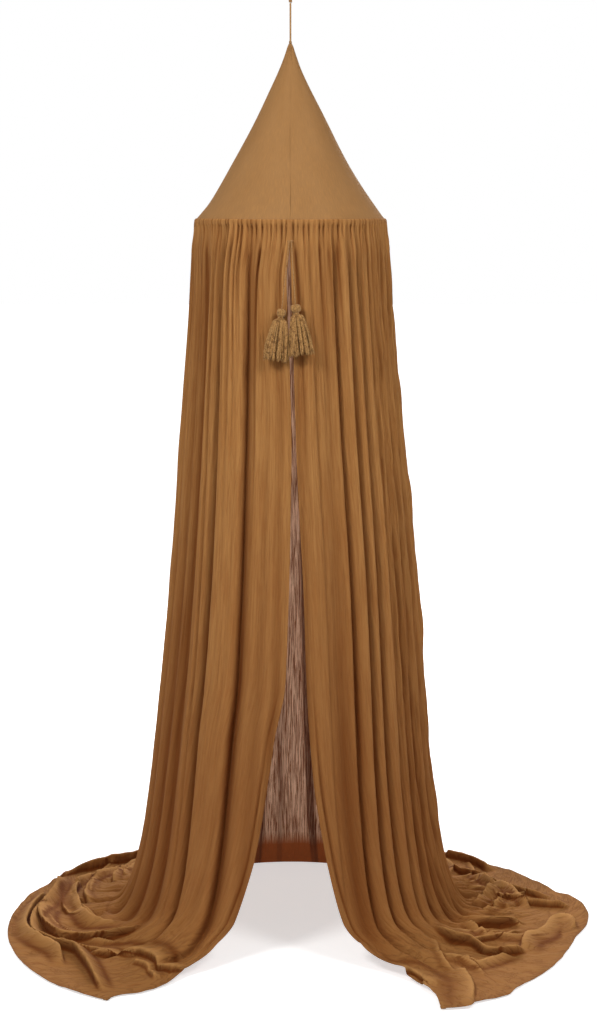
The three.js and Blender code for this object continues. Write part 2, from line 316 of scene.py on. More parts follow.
ochre = rgb(196, 142, 82)
ochre_deep = rgb(184, 128, 70)
# Painted shade in the troughs of the crinkles
painted_crinkle_shade = rgb(150, 92, 46)
# Painted shade on the cloth that lies on the floor
painted_pool_shade = rgb(160, 111, 59)
# Painted shade, deepening down the hanging cloth
painted_low_shade = rgb(152, 96, 50)
# Painted highlight on the crests of the folds on the floor
painted_crest_highlight = rgb(206, 152, 90)
# Painted shade, mixed in where the folds are deep and along the thin creases
painted_fold_shade = rgb(108, 52, 8)
smooth_ochre = rgb(150, 110, 67)
smooth_ochre_deep = rgb(144, 104, 61)
# Colours of the inner face, which stand in for how it looks lit from behind: painted light in pale streaks,
# a mid tone, and painted shade
painted_light_through = rgb(236, 196, 166)
inside_mid = rgb(150, 102, 74)
painted_inside_shade = rgb(100, 58, 40)
# Painted shade: the band at the foot of the inner face, where less light comes through from behind
painted_foot_shade = rgb(160, 88, 48)
# Yarn and cord: base tones, paler tones for painted highlights on the fibres, and a dark tone for painted
# shade between them
yarn_pale = rgb(182, 138, 82)
yarn_mid = rgb(136, 96, 48)
yarn_dark = rgb(112, 74, 32)
cord_pale = rgb(182, 140, 90)
cord_brown = rgb(150, 108, 62)
natural_plastic = rgb(226, 220, 208)
drawn_brass = rgb(190, 156, 92)

# Distances down the gauze between which its colour changes: painted shade deepens lower down and on the
# floor, and the inner face has a band of painted shade just above the floor
lower_cloth = (0.6, 1.5)
floor_cloth = (cloth_length - 0.62, cloth_length - 0.36)
painted_foot_band = (cloth_length - 0.545, cloth_length - 0.505)

# Heights of the relief in the materials
gauze_bump = 0.004
cotton_bump = 0.0006
yarn_bump = 0.0008
plastic_bump = 0.0002
brass_bump = 0.0001


def gauze_relief(n, uv, lying):
    """Crinkles, creases and weave. Gives the crinkles' noise and the thin creases."""
    fine = n.noise(n.stretched(uv, 130, 8), detail=5, roughness=0.7, distortion=0.5)
    broad = n.noise(n.stretched(uv, 60, 7), detail=2, distortion=0.4)
    weave = n.noise(n.stretched(uv, 1500, 1500), detail=1)
    hanging_lines = n.lines(n.noise(n.stretched(uv, 75, 2.2), detail=3, distortion=0.6), 0.05)
    hanging_lines = n.weaken(hanging_lines, 0.22)
    lying_lines = n.lines(n.noise(n.stretched(uv, 34, 11), detail=3, distortion=1.2), 0.04)
    lines = n.maths("MULTIPLY_ADD", lying, n.maths("SUBTRACT", lying_lines, hanging_lines), hanging_lines)
    height = n.maths("MULTIPLY_ADD", fine, 0.75, n.weaken(broad, 0.8))
    height = n.maths("MULTIPLY_ADD", lines, -0.35, height)
    n.bump(n.maths("MULTIPLY_ADD", weave, 0.05, height), gauze_bump)
    return fine, lines


def gauze_outside(n, uv, along, lying, shade, fine, lines):
    """The outer face: ochre, with painted shade lower down, on the floor, in the folds, creases and crinkle
    troughs, and a painted highlight on the crests on the floor.
    """
    cloudy = n.noise(n.stretched(uv, 7, 3), detail=3)
    outer = n.mix(n.ramp(cloudy, 0.35, 0.7), ochre, ochre_deep)
    # Painted shade: the cloth is darker lower down
    lower = n.ramp(along, *lower_cloth)
    outer = n.mix(n.weaken(lower, 0.6), outer, painted_low_shade)
    # Painted shade on the cloth lying on the floor
    outer = n.mix(n.weaken(lying, 0.75), outer, painted_pool_shade)
    # Painted shade in the crinkles' troughs, a little weaker on the floor
    trough_shade_share = n.maths("MULTIPLY_ADD", lying, -0.08, 0.45)
    outer = n.mix(n.maths("MULTIPLY", n.ramp(fine, 0.58, 0.38), trough_shade_share), outer, painted_crinkle_shade)
    # Painted shade along the thin creases
    outer = n.mix(n.weaken(lines, 0.3), outer, painted_fold_shade)
    # Painted shade where the folds are deep, stronger lower down
    shade_share = n.maths("MULTIPLY_ADD", lower, 0.15, 0.8)
    outer = n.mix(n.maths("MULTIPLY", shade, shade_share), outer, painted_fold_shade)
    # Painted highlight on the crests, where the shade is below 0
    return n.mix(n.ramp(shade, 0.0, -1.0), outer, painted_crest_highlight)


def gauze_inside(n, uv, along, shade):
    """The inner face: painted light in pale streaks where light would come through from behind, a brown band
    of painted shade just above the floor, and the folds' painted shade.
    """
    # Painted light in pale streaks where light would come through the gauze from behind, and painted shade
    # between them
    streaks = n.noise(n.stretched(uv, 400, 10), detail=5, roughness=0.7, distortion=0.7)
    lit_through = n.mix(n.ramp(streaks, 0.46, 0.55), inside_mid, painted_light_through)
    inner = n.mix(n.ramp(streaks, 0.45, 0.38), lit_through, painted_inside_shade)
    # Painted shade in a band just above the floor
    inner = n.mix(n.ramp(along, *painted_foot_band), inner, painted_foot_shade)
    # Painted shade in the folds, seen on the inner face
    return n.mix(n.weaken(n.ramp(shade, 0.35, 1.0), 0.9), inner, painted_inside_shade)


def crinkled_gauze():
    """Double gauze, whose crinkles run along the cloth. Its turned leading edge shows the outer face."""
    n = Nodes("crinkled_gauze", 0.95, 0.0)
    uv = n.add("TexCoord").outputs["UV"]
    across, along = n.parts(uv)
    lying = n.ramp(along, *floor_cloth)
    shade = n.add("Attribute", {"attribute_name": "fold_shade"}).outputs["Fac"]
    fine, lines = gauze_relief(n, uv, lying)
    outer = gauze_outside(n, uv, along, lying, shade, fine, lines)
    turned_in = n.add("NewGeometry").outputs["Backfacing"]
    inside = n.maths("MULTIPLY", turned_in, n.maths("GREATER_THAN", across, edge_strip))
    seen = n.mix(inside, outer, gauze_inside(n, uv, along, shade))
    n.let_light_through(0.22, seen)
    return n.colour(seen)


def smooth_cotton():
    """The cone's close-woven cotton, nearly even in colour, with a faint upright grain."""
    n = Nodes("smooth_cotton", 0.9, 0.0)
    uv = n.add("TexCoord").outputs["UV"]
    grain = n.noise(n.stretched(uv, 420, 40), detail=3)
    weave = n.noise(n.stretched(uv, 1600, 1600), detail=1)
    cloudy = n.noise(n.stretched(uv, 9, 6), detail=3)
    n.bump(n.maths("MULTIPLY_ADD", weave, 0.3, grain), cotton_bump)
    toned = n.mix(n.ramp(cloudy, 0.3, 0.7), smooth_ochre, smooth_ochre_deep)
    return n.colour(n.mix(n.weaken(n.ramp(grain, 0.55, 0.35), 0.25), toned, ochre_deep))


def twisted_yarn(name, pale, mid, dark, scale):
    """Spun cotton: paler fibres carry painted highlights, between darker tufts of painted shade."""
    n = Nodes(name, 0.8, 0.15)
    place = n.add("TexCoord").outputs["Object"]
    fibres = n.noise(place, scale, detail=4, roughness=0.6)
    tufts = n.noise(place, scale / 3, detail=2)
    n.bump(n.maths("MULTIPLY_ADD", tufts, 0.5, fibres), yarn_bump)
    # Painted highlights on the fibres
    toned = n.mix(n.ramp(fibres, 0.42, 0.58), mid, pale)
    # Painted shade in the darker tufts
    return n.colour(n.mix(n.ramp(tufts, 0.46, 0.36), toned, dark))


def moulded_plastic():
    n = Nodes("moulded_plastic", 0.45, 0.0)
    place = n.add("TexCoord").outputs["Object"]
    scuffs = n.noise(place, 160, detail=4)
    n.bump(scuffs, plastic_bump)
    n.set(n.surface.inputs["Roughness"], n.ramp(scuffs, -0.6, 1.6))
    return n.colour(natural_plastic)


def drawn_metal():
    n = Nodes("drawn_metal", 0.35, 0.0)
    n.surface.inputs["Metallic"].default_value = 1.0
    place = n.add("TexCoord").outputs["Object"]
    lines = n.noise(n.stretched(place, 900, 60), detail=3)
    n.bump(lines, brass_bump)
    n.set(n.surface.inputs["Roughness"], n.ramp(lines, -0.8, 2.2))
    return n.colour(drawn_brass)


gauze = crinkled_gauze()
cotton = smooth_cotton()
yarn = twisted_yarn("tassel_yarn", yarn_pale, yarn_mid, yarn_dark, 380)
cord_cotton = twisted_yarn("cord_cotton", cord_pale, cord_brown, yarn_dark, 1100)
plastic = moulded_plastic()
brass = drawn_metal()


def dress(obj, material, slot, body, *nodes):
    """Gives a piece its material and its body, and hides the CAD nodes that it stands for. The slot is not
    used.
    """
    obj.data.materials.clear()
    obj.data.materials.append(material)
    if body:
        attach(obj, body)
    if nodes:
        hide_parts(*nodes)
    return obj


# Curtains


def skirt_radius(height):
    slope = (skirt_foot_radius - skirt_top_radius) / hoop_height
    return skirt_top_radius + slope * (hoop_height - height)


def smooth_line(values, at):
    """A Catmull-Rom curve through the values, read at fractional places."""
    padded = np.concatenate([[2 * values[0] - values[1]], values, [2 * values[-1] - values[-2]]])
    i = np.clip(at.astype(int), 0, len(values) - 2)
    t = at - i
    a, b, c, d = (padded[i + k] for k in range(4))
    return 0.5 * (2 * b + (c - a) * t + (2 * a - 5 * b + 4 * c - d) * t**2 + (3 * b - a - 3 * c + d) * t**3)


def curve_through(knots, x):
    """A smooth curve through (x, value) knots, whose x rises."""
    places, values = np.array(knots, float).T
    return smooth_line(values, np.interp(x, places, np.arange(len(places))))


def reach_at(turn):
    """How far the cloth reaches on the floor in each direction, from the points of the two hems."""
    turn = (turn + 180) % 360 - 180
    fine = np.linspace(0, 180, 721)
    window = np.hanning(hem_rounding)

    def rounded(hem):
        bearings, shares = np.array(hem, float).T
        padded = np.pad(np.interp(fine, bearings, shares), hem_rounding // 2, mode="reflect")
        return np.interp(np.abs(turn), fine, np.convolve(padded, window / window.sum(), mode="valid"))

    return pool_reach * np.where(turn < 0, rounded(left_hem), rounded(right_hem))


def seam_rise(turn):
    """How much further round the casing the seam lies than at the front: it is higher at the sides."""
    return seam_side_rise * np.sin(np.radians(turn)) ** 2


def row_drops():
    """Distances down the cloth from the hoop's height at which the rows of the mesh lie."""
    over_hoop = -roll_radius * np.radians(np.linspace(roll_top_angle, roll_foot_angle, roll_row_count))
    return np.concatenate([over_hoop] + [np.arange(*step) for step in row_steps])


def base_surface(curtain, along, drop):
    """The cloth without folds: its bearing, radius and height, and the length that lies on the floor."""
    fall = hoop_height - drop
    corner = bend_width + curtain["bend"](along)
    height = soft_ramp(fall, corner)
    lying = soft_ramp(-fall, corner)
    share = np.clip(lying / (row_drops()[-1] - hoop_height), 0, 1)
    start = curtain["edge"](height, share)
    end = curtain["far_edge"](share)
    bearing = start + (end - start) * along + curtain["bulge"] * np.sin(np.pi * along) * share**2
    foot = skirt_radius(height) + curtain["flare"](along) * np.exp(-height / flare_height)
    radius = foot + (reach_at(curtain["sign"] * bearing) - foot) * share
    turned = np.clip(-drop / roll_radius, 0, None)
    turned = turned * (1 + seam_rise(bearing) / roll_top_angle)
    radius = np.where(drop < 0, hoop_radius + roll_radius * np.cos(turned), radius)
    height = np.where(drop < 0, hoop_height + roll_radius * np.sin(turned), height)
    return bearing, radius, height, lying


def valley(gap, near, far, sharpness):
    """The shape of a valley: 1 at its bottom, with its own width on each side."""
    side = np.where(gap < 0, near, far)
    return np.exp(-((np.abs(gap) / side) ** sharpness))


def main_folds(curtain, along, drop, height, radius, fold_rng):
    """The curtain's own folds. At each valley one side may stand proud and lean over it."""
    deepest = np.zeros_like(along)
    lean = np.zeros_like(along)
    start = curtain["edge"](height, 0 * height)
    end = curtain["far_edge"](0 * height)
    grown = 1 - np.exp(-np.clip(drop, 0, None) / fold_growth)
    up = np.clip(height / hoop_height, 0, 1)
    for low, high, floor_size, top_size, proud, width in curtain["valleys"]:
        place = low + (high - low) * up
        size = floor_size + (top_size - floor_size) * up
        turns = 2 * math.pi * drop / fold_rng.uniform(*wander_lengths)
        wander = fold_wander * np.sin(turns + fold_rng.uniform(0, 6))
        drift = fold_drift * (start - curtain["edge_top"]) * (1 - place / seam_bearing)
        here = (place + drift + wander - start) / (end - start)
        gap = (along - here) * np.radians(end - start) * radius
        near = proud_width if proud < 0 else gentle_width * width
        far = proud_width if proud > 0 else gentle_width * width
        crack_near = crack_width if proud < 0 else crack_reach * width
        crack_far = crack_width if proud > 0 else crack_reach * width
        crack = crack_share * valley(gap, crack_near, crack_far, crack_sharpness)
        slope = (1 - crack_share) * valley(gap, near, far, gentle_sharpness)
        deepest += (size * grown * (crack + slope)) ** valley_merging
        if proud:
            hump = np.exp(-(((gap - proud * proud_place * crack_width) / crack_width) ** 2))
            lean -= proud * size * fold_lean * grown * hump
    return fold_depth * deepest ** (1 / valley_merging), lean


def small_folds(curtain, along, drop, fold_rng):
    """Gathers that run together into pleats and then fade, creases, and the groove by a leading edge."""
    deepest = np.zeros_like(along)
    width_at_ring = math.radians(curtain["span"]) * skirt_top_radius
    for level in (gathers, pleats, creases):
        count = int(round(width_at_ring / level["pitch"]))
        for i in range(count):
            place = (i + fold_rng.uniform(0.33, 0.67)) / count
            start = fold_rng.uniform(*level["starts"])
            fade = level["fade"] * fold_rng.uniform(0.4, 1.9)
            size = level["depth"] * fold_rng.uniform(0.6, 1.3)
            here = place + fold_rng.uniform(-0.4, 0.4) / count * smooth(0, 0.4, drop)
            amount = size * smooth(0, level["rise"], drop - start)
            amount = amount * np.exp(-np.clip(drop - start, 0, None) / fade)
            near, far = fold_rng.permuted(level["sides"]) / count
            deepest += (amount * valley(along - here, near, far, small_sharpness)) ** valley_merging
    if curtain["edge_fold"]:
        gap = along * cloth_width - edge_fold["place"]
        groove = valley(gap, edge_fold["near"], edge_fold["far"], edge_fold["sharpness"])
        groove = groove * smooth(*edge_fold["grows"], drop)
        deepest += (edge_fold["depth"] * groove) ** valley_merging
    return deepest ** (1 / valley_merging)


def puckered(depth, drop):
    """Over the hoop the cloth has no room to sink in, so there the gathers stand out instead."""
    inward = smooth(*sinks_between, drop)
    over_hoop = pucker_height * smooth(*puckers_grow, drop) * (1 - smooth(*puckers_fade, drop))
    return depth * inward - over_hoop * np.exp(-depth / (0.3 * gathers["depth"]))


def crinkles(curtain, along, drop):
    """Long fine ripples that run down the cloth, in two sizes."""
    across = along * math.radians(curtain["span"]) * skirt_top_radius
    fine = ripples(across, drop * 0.15, 0.008, curtain["seed"] + 1, spread=0.25)
    return fine + ripples(across, drop * 0.08, 0.015, curtain["seed"] + 2, spread=0.2)


def fold_shade(curtain, along, drop, main_depth, small_depth, fine):
    """How shaded each point is, from 0 to 1: deep folds and the troughs of crinkles are darker."""
    full_shade = main_shade_depth * (1 - main_shade_loss * smooth(0.5, 1.4, drop))
    main_shade = np.clip(main_depth / full_shade, 0, 1) ** main_shade_power
    small_shade = np.clip(small_depth / small_shade_depth, 0, 1) ** small_shade_power
    trough = curtain["crinkled"](along) * np.clip(fine - 0.2, 0, 1) * smooth(0.05, 0.3, drop)
    return np.clip(main_shade_share * main_shade + small_shade + crinkle_shade_share * trough, 0, 1)


def fold_offsets(curtain, along, drop, height, radius, fold_rng):
    """How deep each point lies under the curtain's outer face, how far it leans aside, and its shade."""
    main_depth, lean = main_folds(curtain, along, drop, height, radius, fold_rng)
    small_depth = small_folds(curtain, along, drop, fold_rng)
    fine = crinkles(curtain, along, drop)
    shade = fold_shade(curtain, along, drop, main_depth, small_depth, fine)
    depth = (main_depth**valley_merging + small_depth**valley_merging) ** (1 / valley_merging)
    depth += crinkle_depth * (0.3 + curtain["crinkled"](along)) * (1.5 + fine) * smooth(0.0, 0.15, drop)
    fullness = upper_fullness * smooth(0.015, 0.08, drop) * np.exp(-drop.clip(0) / fullness_fade)
    depth = puckered(depth, drop) - fullness
    grown = 1 - np.exp(-np.clip(drop, 0, None) / fold_growth)
    for seam_place in curtain["seams"]:
        gap = (along - seam_place) * math.radians(curtain["span"]) * radius
        near = np.exp(-((gap / seam_width) ** 2))
        depth += (0.5 * fold_depth * grown * smooth(0.0, 0.02, drop) - depth) * near
        lean *= 1 - near
    return depth, lean, shade


def ridge_line(ridge):
    """Closely spaced points along a ridge's route, and the direction to the left of it at each."""
    route = np.array(ridge["route"], float)
    steps = np.linspace(0, len(route) - 1, route_fineness * len(route))
    line = np.stack([smooth_line(route[:, i], steps) for i in range(2)], axis=-1)
    heading = unit(np.gradient(line, axis=0))
    return line, np.stack([-heading[:, 1], heading[:, 0]], axis=-1)


def ridge_offsets(side, y, ridge):
    """Height, painted shade and shift that one fold lying on the floor gives to the points near its route.
    The painted shadow lies along its feet, and below 0 is a painted highlight on its crest.
    """
    line, normal = ridge_line(ridge)
    margin = 2.5 * ridge["gentle"] + 2 * ridge_shadow
    low, high = line.min(axis=0) - margin, line.max(axis=0) + margin
    close = (side > low[0]) & (side < high[0]) & (y > low[1]) & (y < high[1])
    rise, dark, shift = np.zeros_like(side), np.zeros_like(side), np.zeros((*side.shape, 2))
    if not close.any():
        return rise, dark, shift
    flat = np.stack([side[close], y[close]], axis=-1)
    gaps = np.linalg.norm(flat[:, None, :] - line[None, :, :], axis=-1)
    nearest = gaps.argmin(axis=1)
    across = np.sum((flat - line[nearest]) * normal[nearest], axis=1) * ridge["steep_side"]
    gap = gaps[np.arange(len(flat)), nearest]
    share = nearest / (len(line) - 1)
    taper = smooth(0, ridge["start"], share) * smooth(0, ridge["end"], 1 - share)
    width = np.where(across > 0, ridge["steep"], ridge["gentle"])
    power = np.where(across > 0, 2.0, 1.4)
    found = ridge["height"] * taper * np.exp(-((gap / width) ** power))
    # Painted shadow along the fold's feet, stronger on the steep side
    foot = np.exp(-(((gap - 1.5 * width) / (0.35 * width + ridge_shadow)) ** 2))
    beside = smooth(0.3, 0.8, np.abs(across) / (gap + 1e-6)) * np.where(across > 0, 1.0, 0.6)
    # Painted highlight along the crest, given as shade below 0
    crest = 0.7 * taper * np.exp(-((gap / (0.5 * width)) ** 2))
    rise[close] = found
    dark[close] = foot * beside * taper * np.clip(ridge["height"] / deep_ridge, 0.4, 1) - crest
    shift[close] = (ridge_lean * ridge["steep_side"] * found)[:, None] * normal[nearest]
    return rise, dark, shift


def lay_ridges(x, y, z, amount):
    """Adds the folds of both pools to points on the floor. Gives their painted shade too, and below 0 a
    painted highlight on a crest.

    Where folds cross, the higher one shows.
    """
    shade, highest = np.zeros_like(x), np.zeros_like(x)
    for sign, ridges in ((-1, left_ridges), (1, right_ridges)):
        for ridge in ridges:
            rise, dark, shift = ridge_offsets(sign * x, y, ridge)
            x = x + sign * shift[..., 0] * amount
            y = y + shift[..., 1] * amount
            highest = np.maximum(highest, rise)
            shade = np.where(np.abs(dark) > np.abs(shade), dark, shade)
    return x, y, z + highest * amount, shade * amount


def laid_on_floor(x, y, height, drop, lying):
    """The points, with the swells, wrinkles and folds of the cloth on the floor, and the folds' shade."""
    on_floor = smooth(0.0, 0.1, lying) * (1 - smooth(0.02, 0.14, height))
    z = height + cloth_rise
    z = z + on_floor * swell_height * (1 + ripples(x, y, swell_length, 22))
    z = z + on_floor * wrinkle_height * (1 + ripples(x, y, wrinkle_length, 23))
    hem_calm = smooth(0.0, 0.05, row_drops()[-1] - drop)
    x, y, z, dark = lay_ridges(x, y, z, on_floor * (0.25 + 0.75 * hem_calm))
    z = cloth_rise + soft_ramp(z - cloth_rise, floor_softness)
    return np.stack([x, y, z + floor_z], axis=-1), dark


def curtain_points(curtain):
    """A curtain's points, from the cone's seam down to the hem on the floor, with their UV and shade."""
    fold_rng = np.random.default_rng(curtain["seed"])
    drop, along = np.meshgrid(row_drops(), np.linspace(0, 1, curtain["columns"]), indexing="ij")
    bearing, radius, height, lying = base_surface(curtain, along, drop)
    depth, lean, shade = fold_offsets(curtain, along, drop, height, radius, fold_rng)
    shade = shade * (1 - smooth(0.0, 0.12, lying))

    out = -np.gradient(height, axis=0)
    up = np.gradient(radius, axis=0)
    length = np.hypot(out, up) + 1e-12
    kept = 1 - smooth(*curtain["folds_end"](along), lying - height)
    fold_lift = 0.55 * fold_depth * kept * smooth(0, 0.05, lying)
    radius = radius - depth * kept * out / length
    height = height - depth * kept * up / length + fold_lift
    bearing = bearing + np.degrees(lean * kept / radius)
    angle = np.radians(bearing) * curtain["sign"]
    x, y = radius * np.sin(angle), -radius * np.cos(angle)
    bowed = np.exp(-(((height - skirt_bow_height) / skirt_bow_reach) ** 2))
    x = x + skirt_bow * bowed * smooth(0, 0.3, drop)
    points, dark = laid_on_floor(x, y, height, drop, lying)
    shade = np.clip(np.maximum(shade, ridge_shade * dark) + np.minimum(dark, 0), -1, 1)
    return points, np.stack([along * cloth_width, drop], axis=-1), shade


def turned_hem(points, uv):
    """Adds rows that fold the cloth's lower edge under itself."""
    last, before = points[-1], points[-6]
    inward = unit((before - last) * [1, 1, 0])
    down = np.array([0, 0, -cloth_thickness])
    turn = last + down / 2 - inward * cloth_thickness / 2
    rows = [turn, last + down, last + down + inward * hem_depth]
    path = [uv[-1] + [0, step] for step in (cloth_thickness, 2 * cloth_thickness, hem_depth)]
    return np.concatenate([points, np.array(rows)]), np.concatenate([uv, np.array(path)])


def turned_edge(points, uv):
    """Adds columns that fold the leading edge of a front curtain under itself."""
    first = points[:, 0]
    across = unit(points[:, 4] - first)
    behind = np.cross(across, unit(np.gradient(first, axis=0)))
    upright = smooth(0.02, 0.2, first[:, 2] - floor_z)
    facing = unit(first * [1, 1, 0]) * upright[:, None]
    facing[:, 2] += 1 - upright
    behind *= -np.sign(np.sum(behind * facing, axis=1))[:, None]
    behind *= cloth_thickness
    turn = first + behind / 2 - across * cloth_thickness / 2
    added = [first + across * edge_depth + behind, first + behind, turn]
    path = [uv[:, 0] - [step, 0] for step in (edge_depth, 2 * cloth_thickness, cloth_thickness)]
    points = np.concatenate([np.stack(added, axis=1), points], axis=1)
    return points, np.concatenate([np.stack(path, axis=1), uv], axis=1)


# Three sizes of small folds. The widths of their two sides are shares of their pitch. They start between two
# distances down the cloth, grow over the rise and fade over the fade.
gathers = dict(pitch=0.0135, depth=0.011, sides=(0.17, 0.32), starts=(-0.014, -0.009), rise=0.006, fade=0.3)
pleats = dict(pitch=0.027, depth=0.015, sides=(0.12, 0.28), starts=(0.0, 0.05), rise=0.07, fade=0.42)
creases = dict(pitch=0.04, depth=0.007, sides=(0.12, 0.25), starts=(0.1, 1.0), rise=0.3, fade=0.9)

# The main valleys of each curtain: bearings at the floor and at the hoop, depths there as shares of the fold
# depth, the side that stands proud over the valley (1 away from the slit, -1 towards it), and the width
left_valleys = [
    (6.5, 5.9, 0.35, 0.35, 0, 0.8),
    (12.5, 14.3, 0.3, 0.3, 0, 1.3),
    (25.5, 24.5, 0.8, 0.8, 1, 1.5),
    (39.5, 40.5, 1.0, 1.0, -1, 1.0),
    (46, 48, 0.15, 0.6, -1, 0.5),
    (55, 58, 0.5, 0.9, 0, 1.5),
    (65, 68, 0.5, 0.8, 0, 1.8),
    (77, 80, 0.55, 0.8, 0, 1.4),
    (90, 93, 0.55, 0.8, 1, 1.0),
    (101, 103, 0.5, 0.7, 0, 1.2),
]
right_valleys = [
    (3.1, 4.5, 0.45, 0.45, 0, 0.8),
    (15, 11.4, 0.25, 0.4, -1, 1.0),
    (20.5, 18, 0.5, 0.4, 0, 2.2),
    (25.3, 25.1, 0.85, 0.85, -1, 1.0),
    (33, 34.8, 0.85, 0.85, -1, 0.9),
    (40, 41, 0.9, 0.9, -1, 0.9),
    (48, 49, 0.6, 0.45, -1, 0.8),
    (56, 55, 0.5, 0.3, 0, 0.8),
    (64, 63, 0.7, 0.4, 0, 0.9),
    (73, 72, 0.6, 0.35, 0, 0.9),
    (83, 83, 0.6, 0.5, 1, 0.8),
    (93, 94, 0.7, 0.7, 0, 1.2),
    (103, 104, 0.7, 0.7, 0, 1.0),
]
back_valleys = [
    (120, 120, 0.7, 0.7, 0, 1.0),
    (131, 130, 0.9, 0.9, 1, 1.0),
    (141, 142, 0.6, 0.6, 0, 1.2),
    (152, 152, 0.8, 0.8, -1, 1.0),
    (162, 163, 0.5, 0.5, 0, 1.0),
    (170.5, 179.5, 1.2, 1.0, 0, 0.5),
    (185, 186, 0.4, 0.4, 0, 1.2),
    (194, 193, 0.7, 0.7, 1, 1.0),
    (204, 205, 0.9, 0.9, 0, 1.2),
    (214, 215, 0.7, 0.7, -1, 1.0),
    (226, 225, 0.8, 0.8, 0, 1.0),
    (238, 238, 0.8, 0.8, 1, 1.2),
]

# Bearings of the leading edges at heights above the floor
left_slit = [
    (0, 28), (0.1, 20.5), (0.26, 13.8), (0.46, 9.5), (0.58, 7.1), (0.7, 3.3), (0.9, 2.2), (1.1, 1.3),
    (1.33, 0.2), (1.52, 0.7), (1.75, 2.1), (1.84, 0.1), (1.9, 0.1),
]
right_slit = [
    (0, 25), (0.1, 18.5), (0.26, 13.6), (0.46, 9.0), (0.71, 6.1), (0.97, 4.7), (1.24, 2.8), (1.52, 1.8),
    (1.75, 0.75), (1.84, 0.1), (1.9, 0.1),
]

# Bearings of the leading edges along the floor, at shares of the way out to the hem
left_floor_edge = [(0, 28), (0.15, 26.5), (0.35, 28.5), (0.55, 29), (0.75, 31), (0.9, 34), (1, 34)]
right_floor_edge = [(0, 25), (0.1, 25.5), (0.3, 29), (0.5, 30), (0.75, 29.5), (1, 27)]

# The hems on the floor: bearing, and share of the pool's reach
left_hem = [
    (0, 0.95), (34, 0.953), (41, 0.962), (49, 0.965), (58, 0.955), (70, 0.938), (80, 0.923), (90, 0.905),
    (100, 0.89), (108, 0.875), (116, 0.87), (122, 0.857), (130, 0.835), (140, 0.81), (160, 0.786),
    (180, 0.78),
]
right_hem = [
    (0, 0.962), (27, 0.962), (32, 0.996), (33.5, 0.97), (41, 0.986), (43, 0.97), (47, 0.958),
    (56, 0.952), (67, 0.94), (74, 0.938), (81, 0.964), (88, 0.976), (94, 0.97), (99, 0.94),
    (100.5, 0.911), (105, 0.905), (116, 0.875), (124, 0.845), (130, 0.845), (140, 0.833), (160, 0.798),
    (180, 0.78),
]


def ridge(height, gentle, steep, steep_side, route, start=0.12, end=0.15):
    """A fold on the floor: the widths of its gentle and its steep side, and its route.

    The route is in places to the curtain's own side and along Y. The fold rises and falls over the start and
    the end, which are shares of its length.
    """
    height = ridge_growth * height
    return dict(
        height=height, gentle=gentle, steep=steep, steep_side=steep_side, route=route, start=start, end=end
    )


left_ridges = [
    # The toe of the outermost hanging fold
    ridge(0.0234, 0.0143, 0.0112, 1, [(0.46, 0.06), (0.48, -0.01), (0.49, -0.08), (0.52, -0.1)]),
    # Two hanging folds that turn and run back round the pool
    ridge(0.025, 0.0147, 0.0088, 1, [
        (0.41, -0.14), (0.46, -0.19), (0.51, -0.18), (0.55, -0.15), (0.58, -0.08), (0.61, 0.03),
        (0.62, 0.15), (0.6, 0.25),
    ], start=0.05),
    ridge(0.0281, 0.0163, 0.0088, -1, [
        (0.36, -0.19), (0.4, -0.25), (0.46, -0.28), (0.54, -0.26), (0.61, -0.22), (0.65, -0.14),
        (0.66, -0.04), (0.64, 0.06),
    ], start=0.05),
    # The outer ridges
    ridge(0.026, 0.015, 0.0096, -1, [
        (0.69, 0.16), (0.72, 0.0), (0.73, -0.13), (0.71, -0.22), (0.67, -0.29), (0.62, -0.35), (0.58, -0.44),
    ]),
    ridge(0.028, 0.015, 0.0088, 1, [
        (0.67, 0.3), (0.65, 0.18), (0.665, 0.04), (0.685, -0.1), (0.67, -0.22), (0.61, -0.29), (0.55, -0.34),
        (0.5, -0.47), (0.455, -0.62),
    ], end=0.06),
    # The edges of the facet by the tip
    ridge(0.016, 0.03, 0.0072, 1, [
        (0.54, -0.36), (0.46, -0.38), (0.4, -0.39), (0.35, -0.43), (0.31, -0.49), (0.25, -0.5),
    ]),
    ridge(0.01, 0.0122, 0.008, 1, [(0.4, -0.43), (0.36, -0.47), (0.33, -0.54)]),
    # The rim at the back and the edge of the hollow under it
    ridge(0.0265, 0.0122, 0.0128, -1, [
        (0.4, 0.52), (0.5, 0.44), (0.58, 0.37), (0.64, 0.33), (0.69, 0.28), (0.68, 0.2),
    ]),
    ridge(0.016, 0.0163, 0.008, 1, [(0.46, 0.36), (0.53, 0.3), (0.59, 0.24), (0.62, 0.2)]),
]
